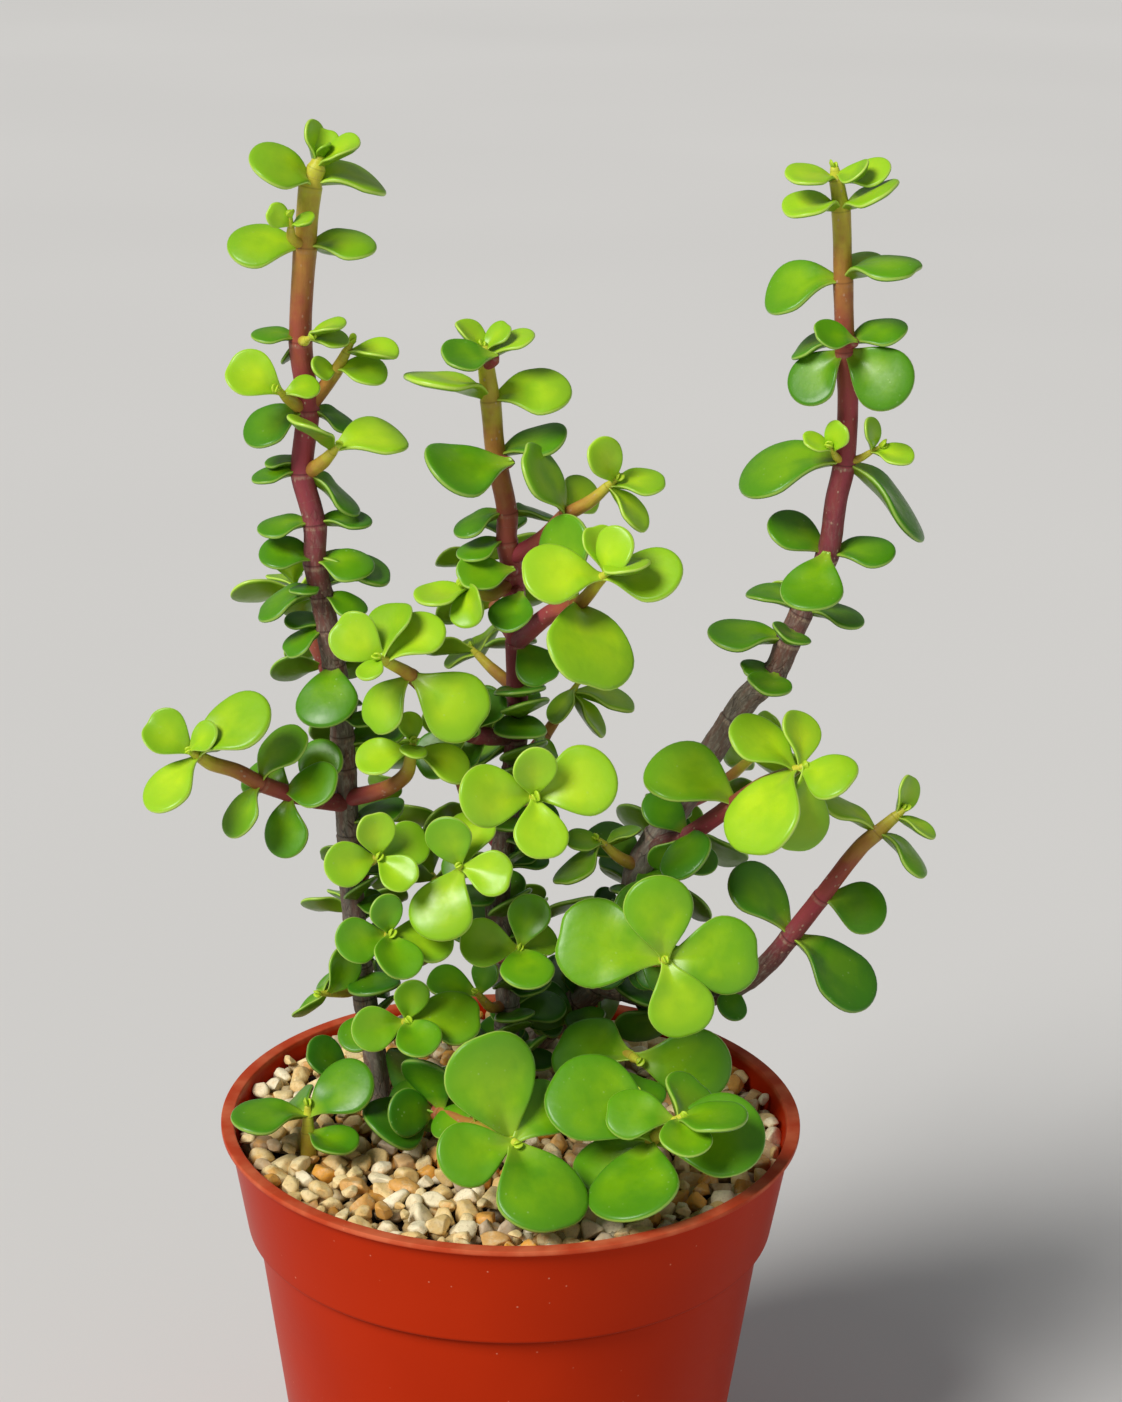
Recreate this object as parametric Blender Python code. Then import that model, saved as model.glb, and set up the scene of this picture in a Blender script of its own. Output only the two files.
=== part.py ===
"""An elephant bush in a plastic nursery pot: three tall stems and three low cuttings with thick, round leaves, rooted
in potting mix under a dressing of gravel.

The origin is the middle of the pot's foot, +Z is up and the front of the plant is at -Y. Lengths below are in
millimetres, and every mesh is brought to metres when it is finished."""

import math

import bpy
import numpy as np
from mathutils import Matrix, Vector
from mathutils.geometry import delaunay_2d_cdt

MM = 0.001
GAP = 0.3

# Pot
POT_HEIGHT = 88.0
LIP_RADIUS = 52.5
LIP_INNER_RADIUS = 50.2
LIP_THICKNESS = 1.0
COLLAR_TOP_RADIUS = 51.2
COLLAR_FOOT_RADIUS = 47.9
COLLAR_FOOT_HEIGHT = 68.3
BODY_TOP_RADIUS = 46.2
BODY_TOP_HEIGHT = 67.6
FOOT_RADIUS = 36.9
WALL = 1.3
FLOOR = 1.6
POT_SEGMENTS = 40
DRAIN_HOLES = 6
DRAIN_RADIUS = 3.5
DRAIN_RING_RADIUS = 26.0

# Filling
SOIL_TOP = 80.5
GRAVEL_FOOT = SOIL_TOP + GAP
GRAVEL_TOP = 85.2
GRAVEL_RADIUS = 48.4
GRAVEL_BACK_RISE = 0.012
PEBBLE_PITCH = 6.1
PEBBLE_HEIGHT = 1.7
PEBBLE_UNEVENNESS = 0.6

# Plants
STEM_SIDES = 7
SHOOT_SIDES = 5
BUD_LENGTH = 2.4
LEAF_WIDTH = 0.80
LEAF_THICKNESS = 0.13
LEAST_THICKNESS = 1.1
MOST_THICKNESS = 2.0
LEAF_DROOP = 20
LEAF_STEP = 1.2
SMALL_LEAF = 11.5
LEAF_ROOT = 0.02
LIGHT = (0.0, -0.7, 0.7)
LIGHT_SHARE = 0.15
BLADE_CLEARANCE = 1.2
PLANT_CLEARANCE = 2.1
STEM_CLEARANCE = 1.2
FLOOR_CLEARANCE = 88.9
TURNS_TRIED = (
    (0, 0),
    (12, 0),
    (-12, 0),
    (0, 12),
    (0, -12),
    (24, 6),
    (-24, 6),
    (12, -20),
    (-12, -20),
    (20, 24),
    (-20, 24),
    (38, 0),
    (-38, 0),
)

# The outline of a leaf: the half width at parts of its length, as a share of the greatest half width.
OUTLINE_PARTS = (0.0, 0.1, 0.25, 0.45, 0.65, 0.82, 0.93, 1.0)
OUTLINE_WIDTHS = (0.13, 0.17, 0.50, 0.86, 1.0, 0.86, 0.58, 0.16)

# Each shoot: the plant it belongs to, its radius at the foot and at the tip, and its nodes from foot to tip. A node is
# its place, then its leaves: turn about the shoot (0 is the plant's right, 90 its back, 180 its left, 270 its front),
# rise towards the tip, length, and for some a tilt to the light about the leaf's own length and a droop. All angles
# are in degrees. A side shoot starts on the middle line of the shoot that carries it.
SHOOTS = [
    # the stem on the left
    ("left_plant", 2.2, 1.9, [
        [(-23, 9, 71)],
        [(-25, 9, 93)],
        [(-27, 8, 107), (70, 2, 9.5, 72, 92)],
        [(-29, 7, 126)],
        [(-30, 6, 146)],
        [(-31, 6, 164), (104, -50, 13, 14, 66), (91, -22, 9)],
        [(-32, 6, 171), (260, -33, 13.5, -2, 29), (60, -5, 9)],
        [(-33, 5, 178), (195, -20, 9), (160, 14, 8)],
        [(-34, 5, 184), (176, -12, 12.5, 0, 53), (335, -25, 9), (40, 4, 10), (235, 14, 7)],
        [(-35, 4, 190), (188, 14, 10.5, 17, 75), (337, -7, 11, 2, 49), (5, -22, 14, -1, 9)],
        [(-35, 4, 197), (185, 0, 10, 5), (8, -6, 10)],
        [(-37, 4, 206), (185, -5, 9), (13, -41, 12.5, 6), (153, 3, 7)],
        [(-36, 4, 217), (195, -25, 12, 15), (7, -23, 9, 7)],
        [(-37, 3, 229), (185, 7, 8.5, 2, 37), (126, -44, 6.5, 22, 24)],
        [(-36, 2, 245), (185, -5, 13, 28), (0, 5, 12, 12), (52, -3, 8, -13, 6)],
        [(-35, 2, 255), (211, 12, 13, 26, 67), (24, 5, 14, 10, 75)],
        [(-34, 2, 258), (160, 65, 8, -5, -4), (332, 45, 9, 25), (308, 63, 4, 25, 56), (99, 59, 6)],
    ]),
    # the stem in the middle
    ("middle_plant", 2.4, 1.7, [
        [(-1, 14, 71)],
        [(-1, 14, 88)],
        [(-1, 14, 99), (27, 12, 12, 5, 28)],
        [(-1, 13, 108)],
        [(-3, 12, 122)],
        [(-2, 11, 135)],
        [(-1, 10, 145), (80, -10, 11)],
        [(0, 9, 157), (154, -30, 11.5, 9, -38)],
        [(0, 8, 175), (310, -31, 10.5, 13, 11), (100, -21, 11.5, 1, -1)],
        [(-1, 7, 188), (60, -10, 10)],
        [(-2, 6, 194), (206, -8, 9.5, -1, 11), (96, 6, 10)],
        [(-2, 6, 199), (190, -15, 10), (33, -20, 10)],
        [(-4, 5, 209), (3, 13, 13, 2, 9)],
        [(-5, 4, 219), (204, 24, 16.5, -7, 44), (0, 0, 14, 20)],
        [(-6, 4, 226), (14, 21, 9.5, 2, 7), (165, 60, 8), (13, 28, 6.5, 20, 11)],
    ]),
    # the leaning stem on the right
    ("right_plant", 3.0, 1.5, [
        [(2, 35, 71)],
        [(4, 34, 86)],
        [(10, 30, 94)],
        [(16, 26, 102), (359, -50, 10.5, 24, 35)],
        [(21, 22, 115)],
        [(23, 18, 129)],
        [(30, 16, 142)],
        [(37, 14, 156)],
        [(41, 13, 163)],
        [(46, 12, 169), (199, -16, 7, 2, 8)],
        [(48, 11, 175), (176, -16, 14.5, -3, -2)],
        [(50, 11, 180), (152, -7, 11, 4, 61), (356, 13, 11.5, 2, 40), (68, 9, 11.5, -9, -19)],
        [(54, 10, 191), (165, 15, 12, 20), (355, 18, 12, 10)],
        [(55, 9, 201)],
        [(56, 8, 208), (171, -22, 19.5, -20, 53), (355, -40, 20, -7, 43)],
        [(56, 7, 219)],
        [(55, 6, 228), (322, -28, 14, 45), (193, -36, 12, 28, 12), (359, 12, 11, 10, 14), (152, -16, 10.5, 4, 52)],
        [(54, 5, 240), (167, -15, 14.5, 19, 58), (331, 9, 15, -6, 69), (45, 10, 9, 7, 1)],
        [(53, 4, 252), (209, 7, 11, 3, 53), (323, 21, 12, 7, 16)],
        [(52, 4, 257), (212, 13, 10, 15, 34), (347, 6, 9.5, 21, -25), (307, 5, 7.5, 22, -44)],
    ]),
    # the side shoot at the far left
    ("left_plant", 1.7, 1.2, [
        [(-30, 6, 145)],
        [(-35, 0, 148), (75, 0, 11, 13, 48)],
        [(-39, -3, 150), (260, -2, 11.5, 12, 24), (147, 20, 11, 26, 68), (356, -16, 11.5, 12, 39)],
        [(-44, -6, 153), (245, 10, 11), (41, -9, 12.5, 2, 46)],
        [(-48, -8, 156)],
        [(-52, -10, 158)],
        [(-54, -12, 160), (240, 20, 13), (25, -4, 16, -2, 41), (140, 50, 10, 15), (90, -60, 8), (18, 5, 7)],
    ]),
    # a branch from the left stem to the middle
    ("left_plant", 1.7, 1.1, [
        [(-30, 6, 146)],
        [(-23, 0, 150)],
        [(-19, -3, 154)],
        [(-18, -5, 159), (200, -15, 10), (350, -10, 11), (120, 45, 6), (270, 20, 6)],
    ]),
    # three shoots that face the front from the foot of the left stem
    ("left_plant", 1.4, 1.0, [
        [(-29, 7, 136)],
        [(-26, -4, 138)],
        [(-24, -10, 141), (195, 10, 10), (25, 5, 10), (105, 30, 9), (315, 32, 9)],
    ]),
    ("left_plant", 1.4, 1.0, [
        [(-28, 7, 121)],
        [(-25, -4, 123)],
        [(-22, -11, 127), (195, 5, 10), (356, 16, 12, -32, 10), (115, 30, 8), (268, 36, 11, -3, 34)],
    ]),
    ("left_plant", 1.4, 1.0, [
        [(-26, 8, 100)],
        [(-22, -2, 105), (191, -24, 9.5, 28, -3)],
        [(-19, -10, 110), (195, 0, 10), (5, 18, 14, -30), (90, 30, 8), (286, 47, 10.5, 6)],
    ]),
    # small shoots along the left stem
    ("left_plant", 1.2, 0.8, [
        [(-27, 8, 109)],
        [(-30, 5, 109)],
        [(-33.4, 1, 110.5), (210, 1, 8.5, 61, -20), (71, -13, 9.5, 72, 64), (130, -60, 6.5, 0, 5)],
    ]),
    ("left_plant", 1.4, 1.0, [
        [(-36, 4, 217)],
        [(-33, 4, 221)],
        [(-31, 3, 224), (335, 24, 9.5, 18, 69), (210, 1, 6, 21, -7)],
        [(-29.3, 2.5, 227.2), (334, 28, 9.5, 8, 27)],
    ]),
    ("left_plant", 1.4, 1.0, [
        [(-36, 4, 206)],
        [(-33, 0, 209)],
        [(-31.3, -2.5, 211.3), (175, 24, 11, 52, 41), (21, 10, 13.5, 26, 53)],
    ]),
    ("left_plant", 1.2, 0.8, [
        [(-37, 4, 217)],
        [(-39, -1, 220)],
        [(-39.7, -2.5, 221), (152, 35, 10.5, 8, 35), (18, -26, 6.5, 11, 9)],
    ]),
    ("left_plant", 1.0, 0.7, [
        [(-36, 2, 245)],
        [(-38, -1, 247)],
        [(-38, -2, 249), (190, 46, 5.5, 51), (342, 30, 5)],
    ]),
    ("left_plant", 1.0, 0.7, [
        [(-37, 3, 229)],
        [(-36, 0, 229.5)],
        [(-35.5, -1, 230), (15, 56, 8, 63, 52), (355, 26, 7, 37)],
    ]),
    # shoots of the middle stem
    ("middle_plant", 1.8, 1.1, [
        [(-1, 9, 157)],
        [(-8, 2, 160), (50, -10, 9)],
        [(-13, -4, 167)],
        [(-18, -9, 174), (320, -36, 15.5), (220, -5, 12)],
        [(-22, -14, 178), (135, 40, 11), (45, -25, 12), (80, -12, 11), (258, 35, 6)],
    ]),
    ("middle_plant", 1.2, 0.9, [
        [(-1, 7, 186)],
        [(-5, 2, 185)],
        [(-8, 0, 187), (225, 54, 10.5, -5, 2), (289, 5, 9.5, -7, 68), (265, -25, 7, 3, 5)],
    ]),
    ("middle_plant", 1.8, 1.2, [
        [(-1, 10, 145)],
        [(1, -4, 150)],
        [(3, -14, 154), (180, 15, 14), (20, 15, 15), (100, 32, 10), (274, 25, 12)],
    ]),
    ("middle_plant", 1.7, 1.1, [
        [(-2, 11, 129)],
        [(-6, 0, 134), (155, -5, 8)],
        [(-9, -9, 139), (249, 11, 14), (80, -20, 11), (100, 35, 10), (347, 0, 10)],
    ]),
    ("middle_plant", 1.4, 1.0, [
        [(-2, 12, 113)],
        [(0, 2, 118)],
        [(1, -5, 122), (175, 5, 11), (25, -20, 8), (78, 10, 10), (277, 47, 12, -1, 33)],
    ]),
    ("middle_plant", 1.2, 0.8, [
        [(-2, 13, 103)],
        [(-4, 8, 105)],
        [(-6, 4, 109), (165, 25, 10, -30), (57, 25, 7)],
    ]),
    ("middle_plant", 1.6, 1.0, [
        [(-2, 7, 190)],
        [(4, 3, 195)],
        [(8, 0, 200), (165, 16, 15, -5, 27), (67, 13, 10, -5, 6)],
        [(12, -2, 203)],
        [(15, -3, 206), (0, 48, 10), (332, 0, 10), (183, 24, 9.5, 38, 41)],
    ]),
    ("middle_plant", 1.8, 1.1, [
        [(0, 8, 175)],
        [(6, -4, 184)],
        [(10, -10, 187), (265, 24, 20.5, -4, 60), (104, 0, 16, 72, 1)],
        [(14, -17, 194), (185, -10, 14), (350, 40, 14), (74, 75, 10.5, 46, 74), (116, 19, 8.5, -3), (294, 64, 10)],
    ]),
    ("middle_plant", 1.2, 1.0, [
        [(-3.7, 4, 208.4)],
        [(-1.9, 1.4, 208.8)],
        [(-1.1, 0, 209.2), (184, 2, 16.5, 45, -35)],
    ]),
    ("middle_plant", 1.1, 0.8, [
        [(-5.6, 3.4, 225.2)],
        [(-4.4, 1.4, 226.4)],
        [(-3.9, 0.5, 227.5), (201, 1, 10.5, 19, -28)],
    ]),
    ("middle_plant", 1.1, 0.8, [
        [(-0.6, 6.6, 185)],
        [(0.4, 3.6, 185.2)],
        [(0.7, 2.5, 185.6), (241, 33, 10, 35, 1)],
    ]),
    ("middle_plant", 1.1, 0.8, [
        [(-1.1, 6.2, 188.6)],
        [(-0.8, 4, 189)],
        [(-0.6, 3, 189.6), (199, 11, 11, 25, -8)],
    ]),
    # shoots of the right stem
    ("right_plant", 1.9, 1.2, [
        [(25, 17, 133)],
        [(31, 8, 139), (139, -13, 10.5, 2, 40), (250, -58, 9.5, -4, 27), (247, 29, 13.5, 68, 48)],
        [(38.5, -1, 148.5), (149, -26, 17.5, 4, 63)],
        [(43, -6, 154)],
        [(48, -10, 158), (145, -20, 14), (251, -16, 19, 70, 65), (289, 60, 12, 41, 13), (100, 5, 10.5),
         (285, -25, 15)],
    ]),
    ("right_plant", 2.4, 1.2, [
        [(16, 26, 102)],
        [(31, 19, 102), (170, -27, 14.5, 47, 10), (269, -59, 14, 8)],
        [(41, 12, 108), (254, 1, 8, 6)],
        [(46, 8, 114)],
        [(50, 5, 121), (328, 0, 19), (145, 10, 16)],
        [(55, 2, 130), (345, 20, 12, 35)],
        [(61, 0, 140)],
        [(64, 0, 143), (340, 5, 12, 0, 50), (165, -15, 12)],
        [(67, 0, 146), (135, 60, 8, -20), (345, 20, 8)],
    ]),
    ("right_plant", 1.9, 1.4, [
        [(21, 21, 114)],
        [(23, 5, 118)],
        [(25, -8, 122), (105, -10, 14)],
        [(26, -18, 126), (168, -7, 19.5), (5, 8, 17, -3), (99, 11, 15), (288, 5, 14)],
    ]),
    ("right_plant", 1.5, 1.2, [
        [(10, 30, 94)],
        [(16, 14, 97), (97, -75, 10, 4, -3)],
        [(22, 0, 99), (355, 30, 18), (181, -62, 18, 41, -29)],
    ]),
    ("right_plant", 1.4, 0.9, [
        [(23, 18, 129)],
        [(19.3, 15, 131.8)],
        [(16.4, 14, 134.7), (214, 57, 8, 17, 39), (31, -28, 7.5, -7, -3), (228, 14, 12, -7, -23)],
    ]),
    ("right_plant", 1.1, 0.8, [
        [(55.1, 5.4, 229.4)],
        [(56.1, 3, 230)],
        [(56.5, 2, 230.4), (174, 3, 8.5, 29, 4)],
    ]),
    ("right_plant", 1.2, 0.8, [
        [(45.9, 11.2, 168.6)],
        [(45.8, 8.8, 168.2)],
        [(45.7, 8.2, 169.6), (256, 20, 10.5, 10, -5)],
    ]),
    ("right_plant", 1.2, 0.9, [
        [(53.9, 9, 191.4)],
        [(53.6, 6.8, 191)],
        [(53.5, 6.2, 192.4), (250, -8, 14, -2, -9)],
    ]),
    ("right_plant", 1.2, 0.8, [
        [(48.7, 11.2, 176.5)],
        [(48.4, 8.8, 176.1)],
        [(48.3, 8.2, 177.5), (259, 29, 9.5, 24, -4)],
    ]),
    ("right_plant", 0.8, 0.6, [
        [(56, 8, 208)],
        [(58.5, 7, 209)],
        [(60.3, 6.5, 210.3), (311, 49, 8, 30), (166, 27, 6.5, 16, 44)],
    ]),
    ("right_plant", 0.8, 0.6, [
        [(56, 8, 208)],
        [(54.3, 6, 209.5)],
        [(53.7, 5, 210.5), (171, 50, 6.5, -28, 30), (39, 49, 6.5, -5, 46)],
    ]),
    # shoots at the back
    ("left_plant", 1.5, 1.0, [
        [(-31, 6, 164)],
        [(-34, 14, 168), (180, 10, 10), (24, 6, 10)],
        [(-38, 22, 173), (270, 0, 10), (90, 0, 11)],
        [(-40, 27, 178), (180, 10, 12), (0, 15, 12), (110, 44, 9), (270, 30, 8)],
    ]),
    ("left_plant", 1.5, 1.0, [
        [(-29, 7, 126)],
        [(-27, 15, 130), (180, 0, 9), (0, 0, 10)],
        [(-25, 23, 136), (180, 15, 10), (0, 10, 11), (110, 44, 10), (270, 20, 9)],
    ]),
    ("left_plant", 1.4, 1.0, [
        [(-27, 8, 107)],
        [(-29, 17, 111), (90, 10, 10)],
        [(-30, 24, 117), (180, 15, 10), (0, 10, 11), (110, 44, 9)],
    ]),
    ("middle_plant", 1.5, 1.0, [
        [(0, 8, 175)],
        [(-4, 17, 179), (180, 0, 11), (0, 0, 10)],
        [(-6, 25, 185), (182, 2, 9), (0, 10, 12), (90, 27, 10)],
    ]),
    ("middle_plant", 1.6, 1.0, [
        [(-2, 11, 135)],
        [(-8, 21, 139), (180, -12, 11), (10, 0, 11)],
        [(-12, 31, 146), (180, 10, 14), (0, 10, 14), (90, 27, 11), (270, 25, 10)],
    ]),
    ("middle_plant", 1.5, 1.0, [
        [(-2, 13, 110)],
        [(-10, 24, 114), (150, 0, 11)],
        [(-15, 33, 120), (202, 10, 13), (10, 10, 12), (110, 44, 10), (282, 20, 8)],
    ]),
    ("middle_plant", 1.3, 0.9, [
        [(0, 8.5, 166)],
        [(-4, 13, 168)],
        [(-7, 16, 170), (101, 49, 9, 18, 3), (39, 52, 11, 18, -44), (175, 38, 9, 6, 25)],
    ]),
    ("middle_plant", 1.4, 0.9, [
        [(-1, 10, 149)],
        [(5.3, 17, 154.6), (305, -39, 7.5, -5, -10)],
        [(10.1, 21, 161.5), (359, -27, 10, 13, -1), (7, 18, 12, 20, 26), (292, -74, 8.5, 68, 27)],
    ]),
    ("right_plant", 1.7, 1.0, [
        [(30, 16, 142)],
        [(37, 25, 142), (180, 0, 11), (0, 0, 12)],
        [(44, 33, 145), (140, 10, 9), (0, 10, 13), (110, 39, 12), (270, 25, 9)],
    ]),
    ("right_plant", 1.5, 1.0, [
        [(46, 12, 169)],
        [(50, 20, 173)],
        [(52, 26, 178), (180, 10, 7), (110, 44, 10)],
    ]),
    ("right_plant", 1.7, 1.0, [
        [(21, 22, 115)],
        [(27, 32, 119), (180, 0, 12), (0, -5, 12)],
        [(31, 40, 125), (180, 10, 14), (0, 10, 14), (110, 39, 12), (270, 25, 9)],
    ]),
    ("right_plant", 1.5, 1.0, [
        [(10, 30, 94)],
        [(6, 41, 99), (180, 0, 11)],
        [(4, 47, 106), (180, 10, 13), (0, 10, 13), (90, 27, 10), (270, 30, 8)],
    ]),
    # the low cuttings
    ("front_cutting", 1.8, 1.3, [
        [(-19, 3, 72)],
        [(-19, 2, 87), (118, 47, 12.5, -71, -64)],
        [(-16, -6, 91.3), (210, 32, 14.5, 31, 1), (83, -67, 13, 45, 9)],
        [(-12, -13, 93.6), (198, -48, 9, -6, 6), (122, 5, 13, -70, -45)],
        [(-6, -21, 95), (180, -74, 10, 39, 8), (78, 0, 9)],
        [(0, -32, 98), (109, 0, 20, 7, 7), (277, 48, 19.5, -3, 13), (192, -7, 14, 22), (41, -4, 13, 28, 8)],
    ]),
    ("right_cutting", 1.8, 1.2, [
        [(19, -12, 72)],
        [(20, -13, 86)],
        [(21, -21, 92)],
        [(24, -29, 97), (257, 16, 19.5, 50, 8), (0, 34, 20, -2, 24), (152, -11, 21, 7, 40),
         (215, -32, 15.5, 23, -30)],
        [(28, -32, 102), (172, -30, 12.5, 4, 31), (318, 59, 14, -2, 32), (60, -9, 13.5, -1, -40),
         (263, 21, 11, 25, 11)],
    ]),
    ("right_cutting", 1.5, 1.1, [
        [(21, -19, 90)],
        [(22, -15, 93), (84, 63, 10.5, 22, 44)],
        [(22, -14, 96)],
    ]),
    ("seedling", 1.6, 1.1, [
        [(-36, -14, 72)],
        [(-36, -13, 84)],
        [(-36, -13, 90), (318, -3, 11, 0, 8)],
        [(-36, -13, 93), (198, 5, 14), (9, 38, 14, 27, 16), (111, -16, 10.5, 31, 6)],
    ]),
    ("seedling", 1.2, 0.9, [
        [(-36, -12.6, 92)],
        [(-32.5, -7, 94)],
        [(-29.2, -1.2, 95.8), (227, -28, 10.5, 70, 10)],
    ]),
]

HIGHEST_HOLE = 96.0


def unit(vector):
    return vector / np.linalg.norm(vector)


def tangents(points):
    """The direction of a chain of points at each of them."""
    steps = [unit(b - a) for a, b in zip(points, points[1:])]
    inner = [unit(a + b) for a, b in zip(steps, steps[1:])]
    return [steps[0], *inner, steps[-1]]


def turned(vector, axis, angle):
    """The vector turned about a unit axis."""
    along = axis * np.dot(axis, vector)
    return along + (vector - along) * math.cos(angle) + np.cross(axis, vector) * math.sin(angle)


def shares(first, last, count):
    """Evenly spaced values from the first to the last."""
    return [first + (last - first) * k / (count - 1) for k in range(count)]


class Leaf:
    """One leaf: a flat outline, bent along its length, with its upper face towards the shoot's tip and the light."""

    def __init__(self, foot, axis, azimuth, rise, length, tilt, droop):
        self.foot = foot
        self.length = length
        self.thickness = min(MOST_THICKNESS, max(LEAST_THICKNESS, LEAF_THICKNESS * length))
        self.droop = math.radians(droop)
        turn = math.radians(azimuth)
        lift = math.radians(rise)
        right = unit(np.array([1.0, 0.0, 0.0]) - axis * axis[0])
        back = np.cross(axis, right)
        out = right * math.cos(turn) + back * math.sin(turn)
        along = out * math.cos(lift) + axis * math.sin(lift)
        face = unit(axis - along * np.dot(along, axis))
        light = np.array(LIGHT)
        light = unit(light - along * np.dot(along, light))
        angle = math.atan2(np.dot(np.cross(face, light), along), np.dot(face, light))
        share = LIGHT_SHARE * min(abs(angle), 1.2)
        face = turned(face, along, math.copysign(math.radians(tilt) + share, angle))
        half = self.droop / 2
        self.across = np.cross(face, along)
        self.along = along * math.cos(half) + face * math.sin(half)
        self.face = np.cross(self.along, self.across)

    def at(self, part, side, height=0.0):
        """A point at a part of the length, to the side from -1 to 1, and at a height over the middle surface."""
        bend = self.droop * part
        run = math.sin(bend) / self.droop
        drop = (1 - math.cos(bend)) / self.droop
        face = self.face * math.cos(bend) + self.along * math.sin(bend)
        out = side * LEAF_WIDTH / 2 * np.interp(part, OUTLINE_PARTS, OUTLINE_WIDTHS)
        path = self.along * run - self.face * drop + self.across * out
        return self.foot + self.length * path + face * height

    def blade(self):
        """Points spread over the wide part."""
        parts = (0.32, 0.45, 0.58, 0.71, 0.84, 0.97)
        sides = (-0.92, -0.46, 0.0, 0.46, 0.92)
        return np.array([self.at(part, side) for part in parts for side in sides])

    def stalk(self):
        """Points along the narrow part."""
        return np.array([self.at(part, 0.0) for part in (0.12, 0.18, 0.25)])


def least_distance(points, others, radii=0.0):
    if not len(points) or not len(others):
        return 99.0
    away = np.linalg.norm(points[:, None, :] - others[None, :, :], axis=2)
    return float((away - radii).min())


def stem_points():
    """Points along every shoot, with the radius, the shoot's number and the plant."""
    rows = []
    for number, (plant, foot_radius, tip_radius, nodes) in enumerate(SHOOTS):
        points = [np.array(node[0], float) for node in nodes]
        radii = shares(foot_radius, tip_radius, len(points))
        for start, end, first, last in zip(points, points[1:], radii, radii[1:]):
            count = max(2, int(np.linalg.norm(end - start) / 1.5))
            for share in shares(0.0, 1.0, count):
                rows.append((start + (end - start) * share, first + (last - first) * share, number, plant))
    places, radii, numbers, plants = zip(*rows)
    return np.array(places), np.array(radii), np.array(numbers), np.array(plants)


def room_round(leaf, number, plant, stems, grown):
    """How far a leaf stays from what it mustn't cross, less the distance that it needs."""
    blade = leaf.blade()
    whole = np.concatenate([blade, leaf.stalk()])
    places, radii, numbers, plants = stems
    near = np.linalg.norm(places - leaf.foot, axis=1) < 32
    own = near & (numbers != number) & (plants == plant)
    foreign = near & (plants != plant)
    rooms = [
        least_distance(blade, places[own], radii[own]) - STEM_CLEARANCE,
        least_distance(whole, places[foreign], radii[foreign]) - STEM_CLEARANCE,
    ]
    for other, other_plant in grown:
        if np.linalg.norm(other.foot - leaf.foot) > 40:
            continue
        if other_plant == plant:
            rooms.append(least_distance(blade, other.blade_points) - BLADE_CLEARANCE)
        else:
            rooms.append(least_distance(whole, other.all_points) - PLANT_CLEARANCE)
    over_pot = np.hypot(whole[:, 0], whole[:, 1]) < LIP_RADIUS + 3
    if over_pot.any():
        rooms.append(float(whole[over_pot, 2].min()) - FLOOR_CLEARANCE)
    return min(rooms)


def grow_leaves():
    """Every leaf with its plant. A leaf that would cross an earlier one is turned aside, as crowded leaves grow."""
    stems = stem_points()
    grown = []
    for number, (plant, foot_radius, tip_radius, nodes) in enumerate(SHOOTS):
        points = [np.array(node[0], float) for node in nodes]
        for node, axis in zip(nodes, tangents(points)):
            place = np.array(node[0], float)
            for rank, entry in enumerate(node[1:]):
                azimuth, rise, length = entry[:3]
                tilt = entry[3] if len(entry) > 3 else 0
                droop = entry[4] if len(entry) > 4 else LEAF_DROOP
                foot = place + axis * LEAF_STEP * (rank // 2)
                best_room = -99.0
                for turn, lift in TURNS_TRIED:
                    leaf = Leaf(foot, axis, azimuth + turn, rise + lift, length, tilt, droop)
                    room = room_round(leaf, number, plant, stems, grown)
                    if room > best_room + 0.3:
                        best_room = room
                        best = leaf
                    if room >= 0:
                        break
                best.blade_points = best.blade()
                best.all_points = np.concatenate([best.blade_points, best.stalk()])
                grown.append((best, plant))
    return grown


def leaf_mesh(leaf):
    """A closed lens over the outline: two points on each face of a large leaf, one on each face of a small one. The
    foot is a point behind the middle line of the shoot."""
    small = leaf.length < SMALL_LEAF
    rows = (0.33, 0.72, 0.97) if small else (0.28, 0.53, 0.79, 0.97)
    middles = (0.55,) if small else (0.38, 0.70)
    points = [leaf.at(-LEAF_ROOT, 0.0)]
    points += [leaf.at(part, -1.0) for part in rows]
    points += [leaf.at(part, 1.0) for part in reversed(rows)]
    count = len(points)
    for height in (leaf.thickness / 2, -leaf.thickness / 2):
        points += [leaf.at(part, 0.0, height) for part in middles]
    near = count
    far = count + len(middles) - 1
    faces = []
    for k in range(count):
        after = (k + 1) % count
        row = min(k, count - k)
        row_after = min(after, count - after)
        faces.append((k, after, far if min(row, row_after) >= 2 else near))
    if not small:
        faces.append((near, 2, far))
        faces.append((far, count - 2, near))
    shift = len(middles)
    faces += [tuple(v if v < count else v + shift for v in face)[::-1] for face in faces]
    return points, faces


def tube_mesh(points, radii, sides):
    """A closed tube along a chain of points."""
    vertices = []
    faces = []
    for point, axis, radius in zip(points, tangents(points), radii):
        right = unit(np.array([1.0, 0.0, 0.0]) - axis * axis[0])
        back = np.cross(axis, right)
        for k in range(sides):
            turn = 2 * math.pi * k / sides
            vertices.append(point + (right * math.cos(turn) + back * math.sin(turn)) * radius)
    for ring in range(len(points) - 1):
        for k in range(sides):
            a = ring * sides + k
            b = ring * sides + (k + 1) % sides
            faces.append((a, b, b + sides, a + sides))
    last = (len(points) - 1) * sides
    faces.append(tuple(reversed(range(sides))))
    faces.append(tuple(range(last, last + sides)))
    return vertices, faces


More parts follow.
